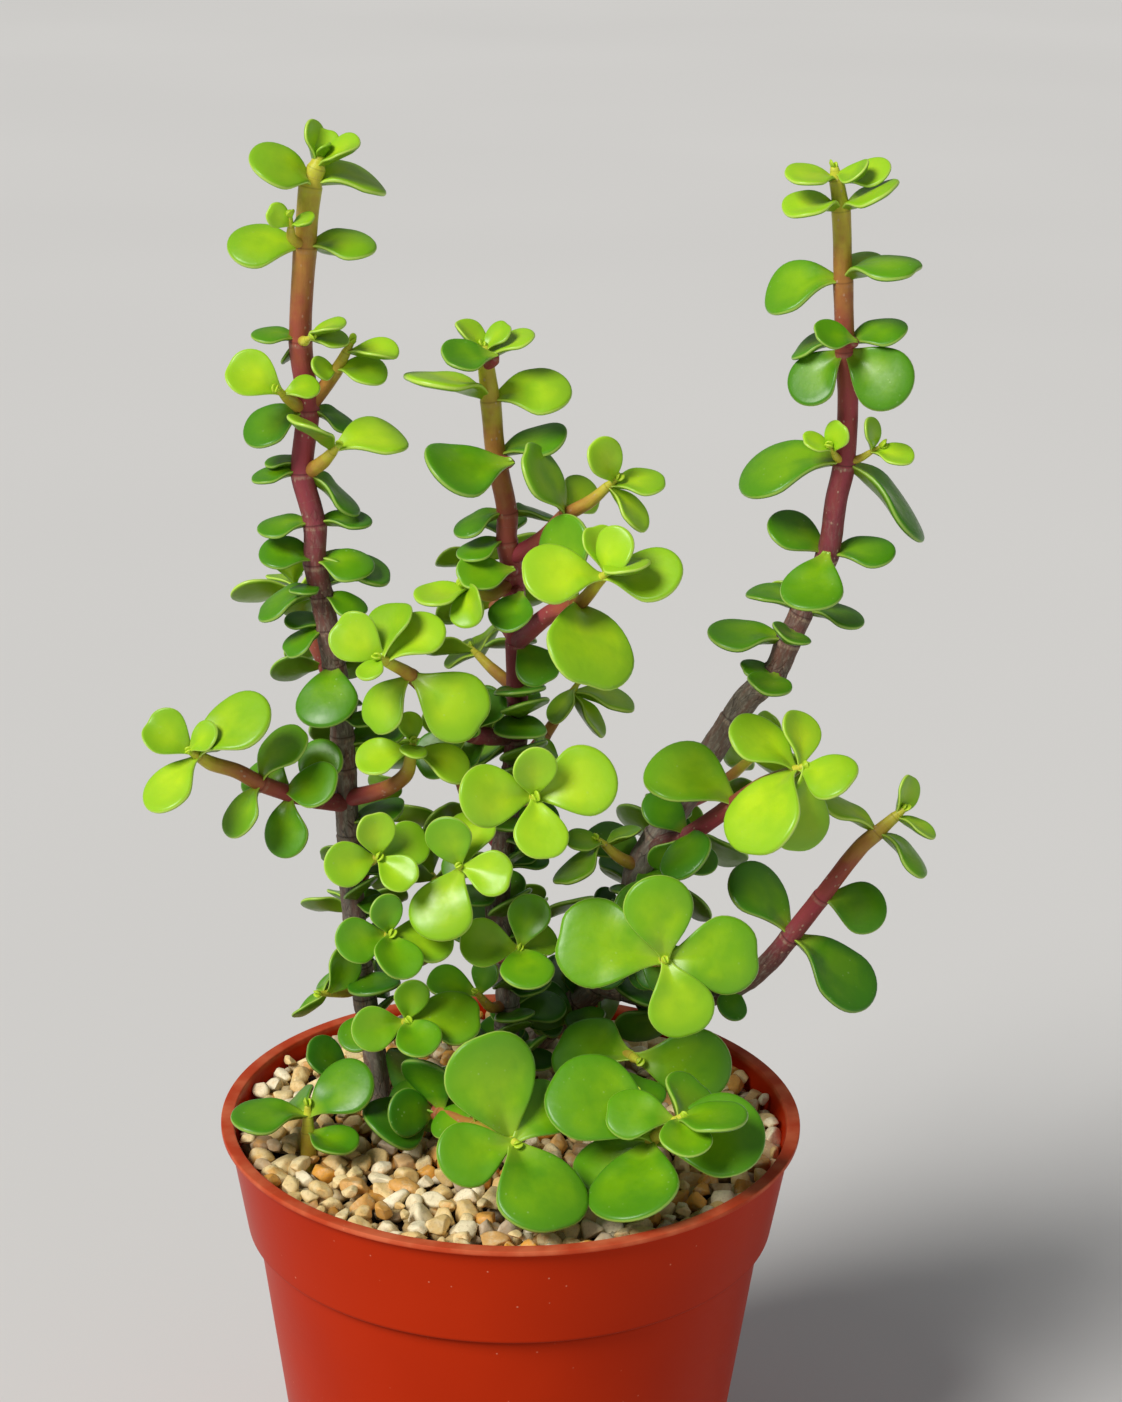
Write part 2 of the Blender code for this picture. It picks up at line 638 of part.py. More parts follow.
def shoot_mesh(foot_radius, tip_radius, nodes, sides):
    """The stem of one shoot, ending in a short bud."""
    points = [np.array(node[0], float) for node in nodes]
    radii = shares(foot_radius, tip_radius, len(points))
    points.append(points[-1] + tangents(points)[-1] * BUD_LENGTH)
    radii.append(tip_radius * 0.45)
    return tube_mesh(points, radii, sides)


def new_object(name, mesh):
    """An object from points in millimetres and faces."""
    points, faces = mesh
    data = bpy.data.meshes.new(name)
    data.from_pydata([tuple(map(float, point)) for point in points], [], faces)
    data.update()
    piece = bpy.data.objects.new(name, data)
    bpy.context.scene.collection.objects.link(piece)
    return piece


def combine(piece, others, operation, solver):
    """Joins or cuts a piece with the others, which are used up."""
    group = bpy.data.collections.new(piece.name + "_others")
    bpy.context.scene.collection.children.link(group)
    for other in others:
        bpy.context.scene.collection.objects.unlink(other)
        group.objects.link(other)
    step = piece.modifiers.new(operation.lower(), "BOOLEAN")
    step.operation = operation
    step.solver = solver
    step.operand_type = "COLLECTION"
    step.collection = group
    graph = bpy.context.evaluated_depsgraph_get()
    result = bpy.data.meshes.new_from_object(piece.evaluated_get(graph))
    piece.modifiers.clear()
    piece.data = result
    for other in others:
        bpy.data.objects.remove(other, do_unlink=True)
    bpy.data.collections.remove(group)


def finish(piece, colour, roughness, smooth):
    """Brings a piece from millimetres to metres and gives it its surface."""
    piece.data.transform(Matrix.Scale(MM, 4))
    surface = bpy.data.materials.new(piece.name)
    surface.use_nodes = True
    shader = surface.node_tree.nodes["Principled BSDF"]
    shader.inputs["Base Color"].default_value = (*colour, 1.0)
    shader.inputs["Roughness"].default_value = roughness
    piece.data.materials.clear()
    piece.data.materials.append(surface)
    for face in piece.data.polygons:
        face.use_smooth = smooth
    if smooth:
        piece.data.set_sharp_from_angle(angle=math.radians(35))


def lathe_mesh(profile, segments):
    """A closed body turned about +Z from a profile that starts and ends on the axis."""
    inner = profile[1:-1]
    points = [(0.0, 0.0, profile[0][1])]
    for radius, height in inner:
        for k in range(segments):
            turn = 2 * math.pi * k / segments
            points.append((radius * math.cos(turn), radius * math.sin(turn), height))
    points.append((0.0, 0.0, profile[-1][1]))
    top = len(points) - 1
    faces = []
    for k in range(segments):
        after = (k + 1) % segments
        faces.append((0, 1 + after, 1 + k))
        for ring in range(len(inner) - 1):
            a = 1 + ring * segments + k
            b = 1 + ring * segments + after
            faces.append((a, b, b + segments, a + segments))
        last = 1 + (len(inner) - 1) * segments
        faces.append((top, last + k, last + after))
    return points, faces


def inner_radius(height):
    """The pot's inner radius at a height above its floor."""
    if height < BODY_TOP_HEIGHT:
        return FOOT_RADIUS - WALL + (BODY_TOP_RADIUS - FOOT_RADIUS) * height / BODY_TOP_HEIGHT
    share = (height - COLLAR_FOOT_HEIGHT) / (POT_HEIGHT - LIP_THICKNESS - COLLAR_FOOT_HEIGHT)
    return COLLAR_FOOT_RADIUS - WALL + (COLLAR_TOP_RADIUS - COLLAR_FOOT_RADIUS) * share


def make_pot():
    lip_foot = POT_HEIGHT - LIP_THICKNESS
    step_foot = BODY_TOP_HEIGHT - 1.0
    step_top = COLLAR_FOOT_HEIGHT + 1.4
    profile = [
        (0.0, 0.0),
        (FOOT_RADIUS - 0.9, 0.0),
        (FOOT_RADIUS, 0.9),
        (BODY_TOP_RADIUS, BODY_TOP_HEIGHT),
        (COLLAR_FOOT_RADIUS - 0.3, COLLAR_FOOT_HEIGHT - 0.3),
        (COLLAR_FOOT_RADIUS, COLLAR_FOOT_HEIGHT + 0.2),
        (COLLAR_TOP_RADIUS, lip_foot),
        (LIP_RADIUS - 0.2, lip_foot),
        (LIP_RADIUS, lip_foot + 0.3),
        (LIP_RADIUS, POT_HEIGHT - 0.4),
        (LIP_RADIUS - 0.4, POT_HEIGHT),
        (LIP_INNER_RADIUS + 0.3, POT_HEIGHT),
        (LIP_INNER_RADIUS, POT_HEIGHT - 0.4),
        (inner_radius(step_top), step_top),
        (inner_radius(step_foot), step_foot),
        (inner_radius(FLOOR), FLOOR),
        (0.0, FLOOR),
    ]
    pot = new_object("pot", lathe_mesh(profile, POT_SEGMENTS))
    drains = []
    for k in range(DRAIN_HOLES):
        turn = 2 * math.pi * (k + 0.5) / DRAIN_HOLES
        x = DRAIN_RING_RADIUS * math.cos(turn)
        y = DRAIN_RING_RADIUS * math.sin(turn)
        ends = [np.array([x, y, -2.0]), np.array([x, y, FLOOR + 2.0])]
        drains.append(new_object("drain", tube_mesh(ends, [DRAIN_RADIUS, DRAIN_RADIUS], 12)))
    combine(pot, drains, "DIFFERENCE", "EXACT")
    finish(pot, (0.42, 0.055, 0.02), 0.42, True)


def stem_cutters():
    """The rooted part of each plant, thicker by the gap, to cut the holes that it stands in."""
    cutters = []
    for number, (plant, foot_radius, tip_radius, nodes) in enumerate(SHOOTS):
        points = [np.array(node[0], float) for node in nodes]
        if points[0][2] > SOIL_TOP:
            continue
        radii = shares(foot_radius, tip_radius, len(points))
        low = [k for k, point in enumerate(points) if point[2] < HIGHEST_HOLE]
        route = [points[k] for k in low]
        wide = [radii[k] + 2 * GAP for k in low]
        route[0] = route[0] - tangents(points)[0] * GAP
        cutters.append(new_object("hole", tube_mesh(route, wide, STEM_SIDES)))
    return cutters


def make_soil():
    """The body of potting mix, clear of the pot all round."""
    foot = FLOOR + GAP
    step_foot = BODY_TOP_HEIGHT - 1.0
    step_top = COLLAR_FOOT_HEIGHT + 1.4
    profile = [
        (0.0, foot),
        (inner_radius(foot) - GAP, foot),
        (inner_radius(step_foot) - GAP, step_foot + GAP),
        (inner_radius(step_top) - GAP, step_top + GAP),
        (inner_radius(SOIL_TOP) - GAP, SOIL_TOP),
        (0.0, SOIL_TOP),
    ]
    soil = new_object("potting_mix", lathe_mesh(profile, POT_SEGMENTS))
    combine(soil, stem_cutters(), "DIFFERENCE", "EXACT")
    finish(soil, (0.05, 0.035, 0.025), 0.95, False)


def make_gravel():
    """A disc whose top is a close cover of pebbles, each one raised over the joints round it."""
    random = np.random.default_rng(7)
    flat = []
    heights = []
    row_step = PEBBLE_PITCH * math.sqrt(3) / 2
    rows = int(GRAVEL_RADIUS / row_step) + 1
    for row in range(-rows, rows + 1):
        for column in range(-rows - 2, rows + 3):
            x = (column + 0.5 * (row % 2)) * PEBBLE_PITCH
            y = row * row_step
            shift_x, shift_y = random.uniform(-0.7, 0.7, 2)
            height = GRAVEL_TOP + PEBBLE_HEIGHT + random.uniform(-1, 1) * PEBBLE_UNEVENNESS
            if math.hypot(x, y) < GRAVEL_RADIUS - 2.4:
                flat.append((x + shift_x, y + shift_y))
                heights.append(height)
            for side in (1, -1):
                joint_y = y + side * PEBBLE_PITCH / math.sqrt(3)
                if math.hypot(x, joint_y) < GRAVEL_RADIUS - 1.4:
                    flat.append((x, joint_y))
                    heights.append(GRAVEL_TOP - 0.3 + random.uniform(-0.3, 0.3))
    edge = len(flat)
    for k in range(POT_SEGMENTS):
        turn = 2 * math.pi * k / POT_SEGMENTS
        flat.append((GRAVEL_RADIUS * math.cos(turn), GRAVEL_RADIUS * math.sin(turn)))
        heights.append(GRAVEL_TOP + 0.3)
    found = delaunay_2d_cdt([Vector(place) for place in flat], [], [], 0, 1e-4)
    kept = [sources[0] for sources in found[3]]
    count = len(kept)
    points = []
    for place, source in zip(found[0], kept):
        rise = GRAVEL_BACK_RISE * (place.y - place.x)
        points.append((place.x, place.y, heights[source] + rise))
    rim = sorted(k for k, source in enumerate(kept) if source >= edge)
    foot_of = {top: count + order for order, top in enumerate(rim)}
    points += [(points[top][0], points[top][1], GRAVEL_FOOT) for top in rim]
    faces = [tuple(face) for face in found[2]]
    for order, top in enumerate(rim):
        after = rim[(order + 1) % len(rim)]
        faces.append((after, top, foot_of[top], foot_of[after]))
    faces.append(tuple(foot_of[top] for top in reversed(rim)))
    gravel = new_object("gravel", (points, faces))
    combine(gravel, stem_cutters(), "DIFFERENCE", "EXACT")
    finish(gravel, (0.55, 0.42, 0.28), 0.8, False)


def make_plants():
    """Each plant as one body: its shoots joined at their feet, and its leaves joined to the shoots."""
    grown = grow_leaves()
    for name in dict.fromkeys(shoot[0] for shoot in SHOOTS):
        pieces = []
        for plant, foot_radius, tip_radius, nodes in SHOOTS:
            if plant == name:
                sides = STEM_SIDES if nodes[0][0][2] < SOIL_TOP else SHOOT_SIDES
                pieces.append(new_object("shoot", shoot_mesh(foot_radius, tip_radius, nodes, sides)))
        pieces += [new_object("leaf", leaf_mesh(leaf)) for leaf, plant in grown if plant == name]
        body = pieces.pop(0)
        body.name = name
        combine(body, pieces, "UNION", "MANIFOLD")
        finish(body, (0.22, 0.42, 0.06), 0.35, False)


for left_over in list(bpy.data.objects):
    bpy.data.objects.remove(left_over, do_unlink=True)

make_pot()
make_soil()
make_gravel()
make_plants()
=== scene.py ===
"""The looks of an elephant bush in a plastic nursery pot: smooth, thick leaves with a pale rim, ringed stems with
bark, loose gravel, and a moulded pot.

Places and sizes below are in millimetres, in the part's own frame: the origin is the middle of the pot's foot, +Z is
up and the front of the plant is at -Y. Every mesh is brought to metres when it becomes a piece."""

import math

import bmesh
import bpy
import numpy as np
from mathutils import Matrix, Vector, noise


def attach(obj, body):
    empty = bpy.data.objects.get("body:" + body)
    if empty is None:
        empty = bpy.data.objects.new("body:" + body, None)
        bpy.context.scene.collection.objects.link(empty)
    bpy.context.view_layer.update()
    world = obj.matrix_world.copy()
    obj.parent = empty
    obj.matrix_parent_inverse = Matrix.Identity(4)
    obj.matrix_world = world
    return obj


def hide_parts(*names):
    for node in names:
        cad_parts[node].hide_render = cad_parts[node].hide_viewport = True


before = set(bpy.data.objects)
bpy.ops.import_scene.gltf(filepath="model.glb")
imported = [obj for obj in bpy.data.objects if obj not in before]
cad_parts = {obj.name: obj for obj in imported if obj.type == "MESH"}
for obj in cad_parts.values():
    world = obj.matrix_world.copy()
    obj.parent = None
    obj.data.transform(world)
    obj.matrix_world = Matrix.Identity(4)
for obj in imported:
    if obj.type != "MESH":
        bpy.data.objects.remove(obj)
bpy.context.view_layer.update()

MM = 0.001

# Pot
POT_HEIGHT = 88.0
LIP_RADIUS = 52.5
LIP_INNER_RADIUS = 50.2
LIP_THICKNESS = 1.0
COLLAR_TOP_RADIUS = 51.2
COLLAR_FOOT_RADIUS = 47.9
COLLAR_FOOT_HEIGHT = 68.3
BODY_TOP_RADIUS = 46.2
BODY_TOP_HEIGHT = 67.6
FOOT_RADIUS = 36.9
WALL = 1.3
FLOOR = 1.6
POT_SEGMENTS = 160
DRAIN_HOLES = 6
DRAIN_RADIUS = 3.5
DRAIN_RING_RADIUS = 26.0
DRAIN_SIDES = 40

# Filling
SOIL_TOP = 80.5
GRAVEL_TOP = 85.2
GRAVEL_BACK_RISE = 0.012

# Pebbles: how many are tried, their radii, the radius of the field they lie in, and their tones with the share of each
UPPER_STONES = 1200
LOWER_STONES = 700
LEAST_STONE = 1.05
MOST_STONE = 2.9
STONE_FIELD = 49.3
STONE_CROWN = 1.2
STONE_CUTS = 12
STONE_CUT_DEPTHS = (0.48, 0.82)
STONE_GROWTH = 1.28
STONE_TONES = ((0.0, 0.2), (0.25, 0.32), (0.45, 0.14), (0.62, 0.09), (0.76, 0.1), (0.86, 0.12), (1.0, 0.03))
STONE_SEED = 5

# Growth: the proportions of a leaf, the light that it turns to, and the room that it keeps
LEAF_WIDTH = 0.80
LEAF_THICKNESS = 0.13
LEAST_THICKNESS = 1.1
MOST_THICKNESS = 2.0
LEAF_DROOP = 20
LEAF_STEP = 1.2
LIGHT = (0.0, -0.7, 0.7)
LIGHT_SHARE = 0.15
BLADE_CLEARANCE = 1.2
PLANT_CLEARANCE = 2.1
STEM_CLEARANCE = 1.2
FLOOR_CLEARANCE = 88.9
LIP_MARGIN = 3.0
NEAR_STEMS = 32.0
NEAR_LEAVES = 40.0
FAR = 99.0
WORTH_A_TURN = 0.3
STEM_SAMPLE = 1.5
MOST_LIGHT_TURN = 1.2
BLADE_PARTS = (0.32, 0.45, 0.58, 0.71, 0.84, 0.97)
BLADE_SIDES = (-0.92, -0.46, 0.0, 0.46, 0.92)
STALK_PARTS = (0.12, 0.18, 0.25)

# What is tried where a leaf would cross another: degrees that it turns about the shoot, and degrees that it lifts
TURNS_TRIED = (
    (0, 0), (12, 0), (-12, 0), (0, 12), (0, -12), (24, 6), (-24, 6),
    (12, -20), (-12, -20), (20, 24), (-20, 24), (38, 0), (-38, 0),
)

# The outline that keeps crowded leaves apart: the half width at parts of the length, as a share of the greatest.
OUTLINE_PARTS = (0.0, 0.1, 0.25, 0.45, 0.65, 0.82, 0.93, 1.0)
OUTLINE_WIDTHS = (0.13, 0.17, 0.50, 0.86, 1.0, 0.86, 0.58, 0.16)

# Leaf skins: shares of the length, width or thickness, and the ranges that each leaf draws its own form from
RIM_SHARE = 0.62
RIM_ANGLES = (30, 60, 90)
INNER_RINGS = (0.72, 0.45, 0.2)
WIDEST_PART = 0.62
FOOT_WIDTH = 0.14
SPINE_END = 0.66
SPINE_CAP = 0.35
BODY_ROWS = 10
CAP_ROWS = 9
BACK_BULGE = 0.42
CREASE_ROUNDING = 0.15
CUP_ROUNDING = 1.6
CREASED_PART = 0.6
LEAF_SIZES = (0.96, 1.05)
LEAF_FOLDS = (0.35, 0.8)
LEAF_BOWS = (-0.16, 0.07)
LEAF_TWISTS = (-0.08, 0.08)
LEAF_SWEEPS = (-0.04, 0.04)
LEAF_WAVES = (0.0, 0.018)
LEAF_NOTCHES = (0.0, 0.0, 0.0, 0.02, 0.045)
LEAF_DISHES = (-0.10, 0.14)
LEAF_CUPS = (0.1, 0.55)
LEAF_SEED = 11

# Age of leaves and painted shade: distances from the shoot's tip, heights below which leaves are painted darker as
# shaded, and what each adds
LARGE_LEAF = 12.0
FOLDED_REACH = 16.0
YOUNG_REACH = 30.0
OLD_WOOD = 26.0
SHADED_BELOW = 162.0
SHADE_DEPTH = 70.0
YOUNGEST = 0.02
AGE_BY_SHOOT = 0.42
AGE_BY_SHADE = 0.37

# Buds: the stub at a shoot's tip, and the two tiny leaves on it
BUD_LENGTH = 2.4
BUD_STEP = 1.4
BUD_RISE = 76
BUD_SIZES = (1.6, 2.3)
BUD_THICKNESS = 0.6
BUD_DROOP = 15

# Small leaves in the shade. A zone is the least and greatest x and the least and greatest z of a leaf's tip.
FILL_SEED = 21
FILL_TRIES = 7
FILL_STEP = 5.0
FILL_LEAST = 7.5
FILL_MOST = 12.5
FILL_RISES = (0, 50)
FILL_OVERLAP = 0.4
FILL_FROM_TIP = 22.0
FILL_ZONES = ((-27, 8, 120, 170), (-25, 36, 90, 144))

# Stems: the length of a ring of faces, the sides, and how bark, nodes and tips change along a shoot
STEP = 0.55
MAIN_SIDES = 28
SIDE_SIDES = 16
OLD_REACH = 60.0
LONGEST_OLD_INTERNODE = 7.5
TIP_TAPER = 0.45
END_NODE_SHARE = 0.8
SIDE_AGEING = 1.9
SPUR_AGE = 45.0
BARK_FROM = 45.0
BARK_OVER = 60.0
RING_SWELL = 0.07
GROOVE_DEPTH = 0.05
GROOVE_WIDTH = 0.22

# Camera: its place, the degrees that it looks down, is turned to the right and rolled, and its lens and sensor
CAMERA_PLACE = (0.0, -494.8, 330.4)
CAMERA_DOWN = 18.3
CAMERA_RIGHT = 0.9
CAMERA_ROLL = 1.0
CAMERA_LENS = 77.0
SENSOR = 36.0

# Studio, in metres: the floor, the sky and two lights that face one point
FLOOR_REACH = 12.0
SKY_STRENGTH = 0.22
LIT_POINT = (0.0, 0.0, 0.15)
MAIN_LIGHT_PLACE = (-0.72, -0.66, 1.05)
MAIN_LIGHT_ANGLE = 26.0
MAIN_LIGHT_POWER = 3.1
SIDE_LIGHT_PLACE = (0.75, -0.95, 0.45)
SIDE_LIGHT_SIZE = 0.8
SIDE_LIGHT_POWER = 0.7

# Each shoot: the plant it belongs to, its radius at the foot and at the tip, and its nodes from foot to tip. A node is
# its place, then its leaves: turn about the shoot (0 is the plant's right, 90 its back, 180 its left, 270 its front),
# rise towards the tip, length, and for some a tilt to the light about the leaf's own length and a droop. All angles
# are in degrees. A side shoot starts on the middle line of the shoot that carries it.
SHOOTS = [
    # the stem on the left
    ("left_plant", 2.2, 1.9, [
        [(-23, 9, 71)], [(-25, 9, 93)], [(-27, 8, 107), (70, 2, 9.5, 72, 92)], [(-29, 7, 126)], [(-30, 6, 146)],
        [(-31, 6, 164), (104, -50, 13, 14, 66), (91, -22, 9)],
        [(-32, 6, 171), (260, -33, 13.5, -2, 29), (60, -5, 9)], [(-33, 5, 178), (195, -20, 9), (160, 14, 8)],
        [(-34, 5, 184), (176, -12, 12.5, 0, 53), (335, -25, 9), (40, 4, 10), (235, 14, 7)],
        [(-35, 4, 190), (188, 14, 10.5, 17, 75), (337, -7, 11, 2, 49), (5, -22, 14, -1, 9)],
        [(-35, 4, 197), (185, 0, 10, 5), (8, -6, 10)],
        [(-37, 4, 206), (185, -5, 9), (13, -41, 12.5, 6), (153, 3, 7)],
        [(-36, 4, 217), (195, -25, 12, 15), (7, -23, 9, 7)],
        [(-37, 3, 229), (185, 7, 8.5, 2, 37), (126, -44, 6.5, 22, 24)],
        [(-36, 2, 245), (185, -5, 13, 28), (0, 5, 12, 12), (52, -3, 8, -13, 6)],
        [(-35, 2, 255), (211, 12, 13, 26, 67), (24, 5, 14, 10, 75)],
        [(-34, 2, 258), (160, 65, 8, -5, -4), (332, 45, 9, 25), (308, 63, 4, 25, 56), (99, 59, 6)],
    ]),
    # the stem in the middle
    ("middle_plant", 2.4, 1.7, [
        [(-1, 14, 71)], [(-1, 14, 88)], [(-1, 14, 99), (27, 12, 12, 5, 28)], [(-1, 13, 108)], [(-3, 12, 122)],
        [(-2, 11, 135)], [(-1, 10, 145), (80, -10, 11)], [(0, 9, 157), (154, -30, 11.5, 9, -38)],
        [(0, 8, 175), (310, -31, 10.5, 13, 11), (100, -21, 11.5, 1, -1)], [(-1, 7, 188), (60, -10, 10)],
        [(-2, 6, 194), (206, -8, 9.5, -1, 11), (96, 6, 10)], [(-2, 6, 199), (190, -15, 10), (33, -20, 10)],
        [(-4, 5, 209), (3, 13, 13, 2, 9)], [(-5, 4, 219), (204, 24, 16.5, -7, 44), (0, 0, 14, 20)],
        [(-6, 4, 226), (14, 21, 9.5, 2, 7), (165, 60, 8), (13, 28, 6.5, 20, 11)],
    ]),
    # the leaning stem on the right
    ("right_plant", 3.0, 1.5, [
        [(2, 35, 71)], [(4, 34, 86)], [(10, 30, 94)], [(16, 26, 102), (359, -50, 10.5, 24, 35)], [(21, 22, 115)],
        [(23, 18, 129)], [(30, 16, 142)], [(37, 14, 156)], [(41, 13, 163)], [(46, 12, 169), (199, -16, 7, 2, 8)],
        [(48, 11, 175), (176, -16, 14.5, -3, -2)],
        [(50, 11, 180), (152, -7, 11, 4, 61), (356, 13, 11.5, 2, 40), (68, 9, 11.5, -9, -19)],
        [(54, 10, 191), (165, 15, 12, 20), (355, 18, 12, 10)], [(55, 9, 201)],
        [(56, 8, 208), (171, -22, 19.5, -20, 53), (355, -40, 20, -7, 43)], [(56, 7, 219)],
        [(55, 6, 228), (322, -28, 14, 45), (193, -36, 12, 28, 12), (359, 12, 11, 10, 14), (152, -16, 10.5, 4, 52)],
        [(54, 5, 240), (167, -15, 14.5, 19, 58), (331, 9, 15, -6, 69), (45, 10, 9, 7, 1)],
        [(53, 4, 252), (209, 7, 11, 3, 53), (323, 21, 12, 7, 16)],
        [(52, 4, 257), (212, 13, 10, 15, 34), (347, 6, 9.5, 21, -25), (307, 5, 7.5, 22, -44)],
    ]),
    # the side shoot at the far left
    ("left_plant", 1.7, 1.2, [
        [(-30, 6, 145)], [(-35, 0, 148), (75, 0, 11, 13, 48)],
        [(-39, -3, 150), (260, -2, 11.5, 12, 24), (147, 20, 11, 26, 68), (356, -16, 11.5, 12, 39)],
        [(-44, -6, 153), (245, 10, 11), (41, -9, 12.5, 2, 46)], [(-48, -8, 156)], [(-52, -10, 158)],
        [(-54, -12, 160), (240, 20, 13), (25, -4, 16, -2, 41), (140, 50, 10, 15), (90, -60, 8), (18, 5, 7)],
    ]),
    # a branch from the left stem to the middle
    ("left_plant", 1.7, 1.1, [
        [(-30, 6, 146)], [(-23, 0, 150)], [(-19, -3, 154)],
        [(-18, -5, 159), (200, -15, 10), (350, -10, 11), (120, 45, 6), (270, 20, 6)],
    ]),
    # three shoots that face the front from the foot of the left stem
    ("left_plant", 1.4, 1.0, [
        [(-29, 7, 136)], [(-26, -4, 138)], [(-24, -10, 141), (195, 10, 10), (25, 5, 10), (105, 30, 9), (315, 32, 9)],
    ]),
    ("left_plant", 1.4, 1.0, [
        [(-28, 7, 121)], [(-25, -4, 123)],
        [(-22, -11, 127), (195, 5, 10), (356, 16, 12, -32, 10), (115, 30, 8), (268, 36, 11, -3, 34)],
    ]),
    ("left_plant", 1.4, 1.0, [
        [(-26, 8, 100)], [(-22, -2, 105), (191, -24, 9.5, 28, -3)],
        [(-19, -10, 110), (195, 0, 10), (5, 18, 14, -30), (90, 30, 8), (286, 47, 10.5, 6)],
    ]),
    # small shoots along the left stem
    ("left_plant", 1.2, 0.8, [
        [(-27, 8, 109)], [(-30, 5, 109)],
        [(-33.4, 1, 110.5), (210, 1, 8.5, 61, -20), (71, -13, 9.5, 72, 64), (130, -60, 6.5, 0, 5)],
    ]),
    ("left_plant", 1.4, 1.0, [
        [(-36, 4, 217)], [(-33, 4, 221)], [(-31, 3, 224), (335, 24, 9.5, 18, 69), (210, 1, 6, 21, -7)],
        [(-29.3, 2.5, 227.2), (334, 28, 9.5, 8, 27)],
    ]),
    ("left_plant", 1.4, 1.0, [
        [(-36, 4, 206)], [(-33, 0, 209)], [(-31.3, -2.5, 211.3), (175, 24, 11, 52, 41), (21, 10, 13.5, 26, 53)],
    ]),
    ("left_plant", 1.2, 0.8, [
        [(-37, 4, 217)], [(-39, -1, 220)], [(-39.7, -2.5, 221), (152, 35, 10.5, 8, 35), (18, -26, 6.5, 11, 9)],
    ]),
    ("left_plant", 1.0, 0.7, [
        [(-36, 2, 245)], [(-38, -1, 247)], [(-38, -2, 249), (190, 46, 5.5, 51), (342, 30, 5)],
    ]),
    ("left_plant", 1.0, 0.7, [
        [(-37, 3, 229)], [(-36, 0, 229.5)], [(-35.5, -1, 230), (15, 56, 8, 63, 52), (355, 26, 7, 37)],
    ]),
    # shoots of the middle stem
    ("middle_plant", 1.8, 1.1, [
        [(-1, 9, 157)], [(-8, 2, 160), (50, -10, 9)], [(-13, -4, 167)],
        [(-18, -9, 174), (320, -36, 15.5), (220, -5, 12)],
        [(-22, -14, 178), (135, 40, 11), (45, -25, 12), (80, -12, 11), (258, 35, 6)],
    ]),
    ("middle_plant", 1.2, 0.9, [
        [(-1, 7, 186)], [(-5, 2, 185)],
        [(-8, 0, 187), (225, 54, 10.5, -5, 2), (289, 5, 9.5, -7, 68), (265, -25, 7, 3, 5)],
    ]),
    ("middle_plant", 1.8, 1.2, [
        [(-1, 10, 145)], [(1, -4, 150)], [(3, -14, 154), (180, 15, 14), (20, 15, 15), (100, 32, 10), (274, 25, 12)],
    ]),
    ("middle_plant", 1.7, 1.1, [
        [(-2, 11, 129)], [(-6, 0, 134), (155, -5, 8)],
        [(-9, -9, 139), (249, 11, 14), (80, -20, 11), (100, 35, 10), (347, 0, 10)],
    ]),
    ("middle_plant", 1.4, 1.0, [
        [(-2, 12, 113)], [(0, 2, 118)],
        [(1, -5, 122), (175, 5, 11), (25, -20, 8), (78, 10, 10), (277, 47, 12, -1, 33)],
    ]),
    ("middle_plant", 1.2, 0.8, [
        [(-2, 13, 103)], [(-4, 8, 105)], [(-6, 4, 109), (165, 25, 10, -30), (57, 25, 7)],
    ]),
    ("middle_plant", 1.6, 1.0, [
        [(-2, 7, 190)], [(4, 3, 195)], [(8, 0, 200), (165, 16, 15, -5, 27), (67, 13, 10, -5, 6)], [(12, -2, 203)],
        [(15, -3, 206), (0, 48, 10), (332, 0, 10), (183, 24, 9.5, 38, 41)],
    ]),
    ("middle_plant", 1.8, 1.1, [
        [(0, 8, 175)], [(6, -4, 184)], [(10, -10, 187), (265, 24, 20.5, -4, 60), (104, 0, 16, 72, 1)],
        [(14, -17, 194), (185, -10, 14), (350, 40, 14), (74, 75, 10.5, 46, 74), (116, 19, 8.5, -3), (294, 64, 10)],
    ]),
    ("middle_plant", 1.2, 1.0, [
        [(-3.7, 4, 208.4)], [(-1.9, 1.4, 208.8)], [(-1.1, 0, 209.2), (184, 2, 16.5, 45, -35)],
    ]),
    ("middle_plant", 1.1, 0.8, [
        [(-5.6, 3.4, 225.2)], [(-4.4, 1.4, 226.4)], [(-3.9, 0.5, 227.5), (201, 1, 10.5, 19, -28)],
    ]),
    ("middle_plant", 1.1, 0.8, [
        [(-0.6, 6.6, 185)], [(0.4, 3.6, 185.2)], [(0.7, 2.5, 185.6), (241, 33, 10, 35, 1)],
    ]),
    ("middle_plant", 1.1, 0.8, [
        [(-1.1, 6.2, 188.6)], [(-0.8, 4, 189)], [(-0.6, 3, 189.6), (199, 11, 11, 25, -8)],
    ]),
    # shoots of the right stem
    ("right_plant", 1.9, 1.2, [
        [(25, 17, 133)], [(31, 8, 139), (139, -13, 10.5, 2, 40), (250, -58, 9.5, -4, 27), (247, 29, 13.5, 68, 48)],
        [(38.5, -1, 148.5), (149, -26, 17.5, 4, 63)], [(43, -6, 154)],
        [(48, -10, 158), (145, -20, 14), (251, -16, 19, 70, 65), (289, 60, 12, 41, 13), (100, 5, 10.5),
         (285, -25, 15)],
    ]),
    ("right_plant", 2.4, 1.2, [
        [(16, 26, 102)], [(31, 19, 102), (170, -27, 14.5, 47, 10), (269, -59, 14, 8)],
        [(41, 12, 108), (254, 1, 8, 6)], [(46, 8, 114)], [(50, 5, 121), (328, 0, 19), (145, 10, 16)],
        [(55, 2, 130), (345, 20, 12, 35)], [(61, 0, 140)], [(64, 0, 143), (340, 5, 12, 0, 50), (165, -15, 12)],
        [(67, 0, 146), (135, 60, 8, -20), (345, 20, 8)],
    ]),
    ("right_plant", 1.9, 1.4, [
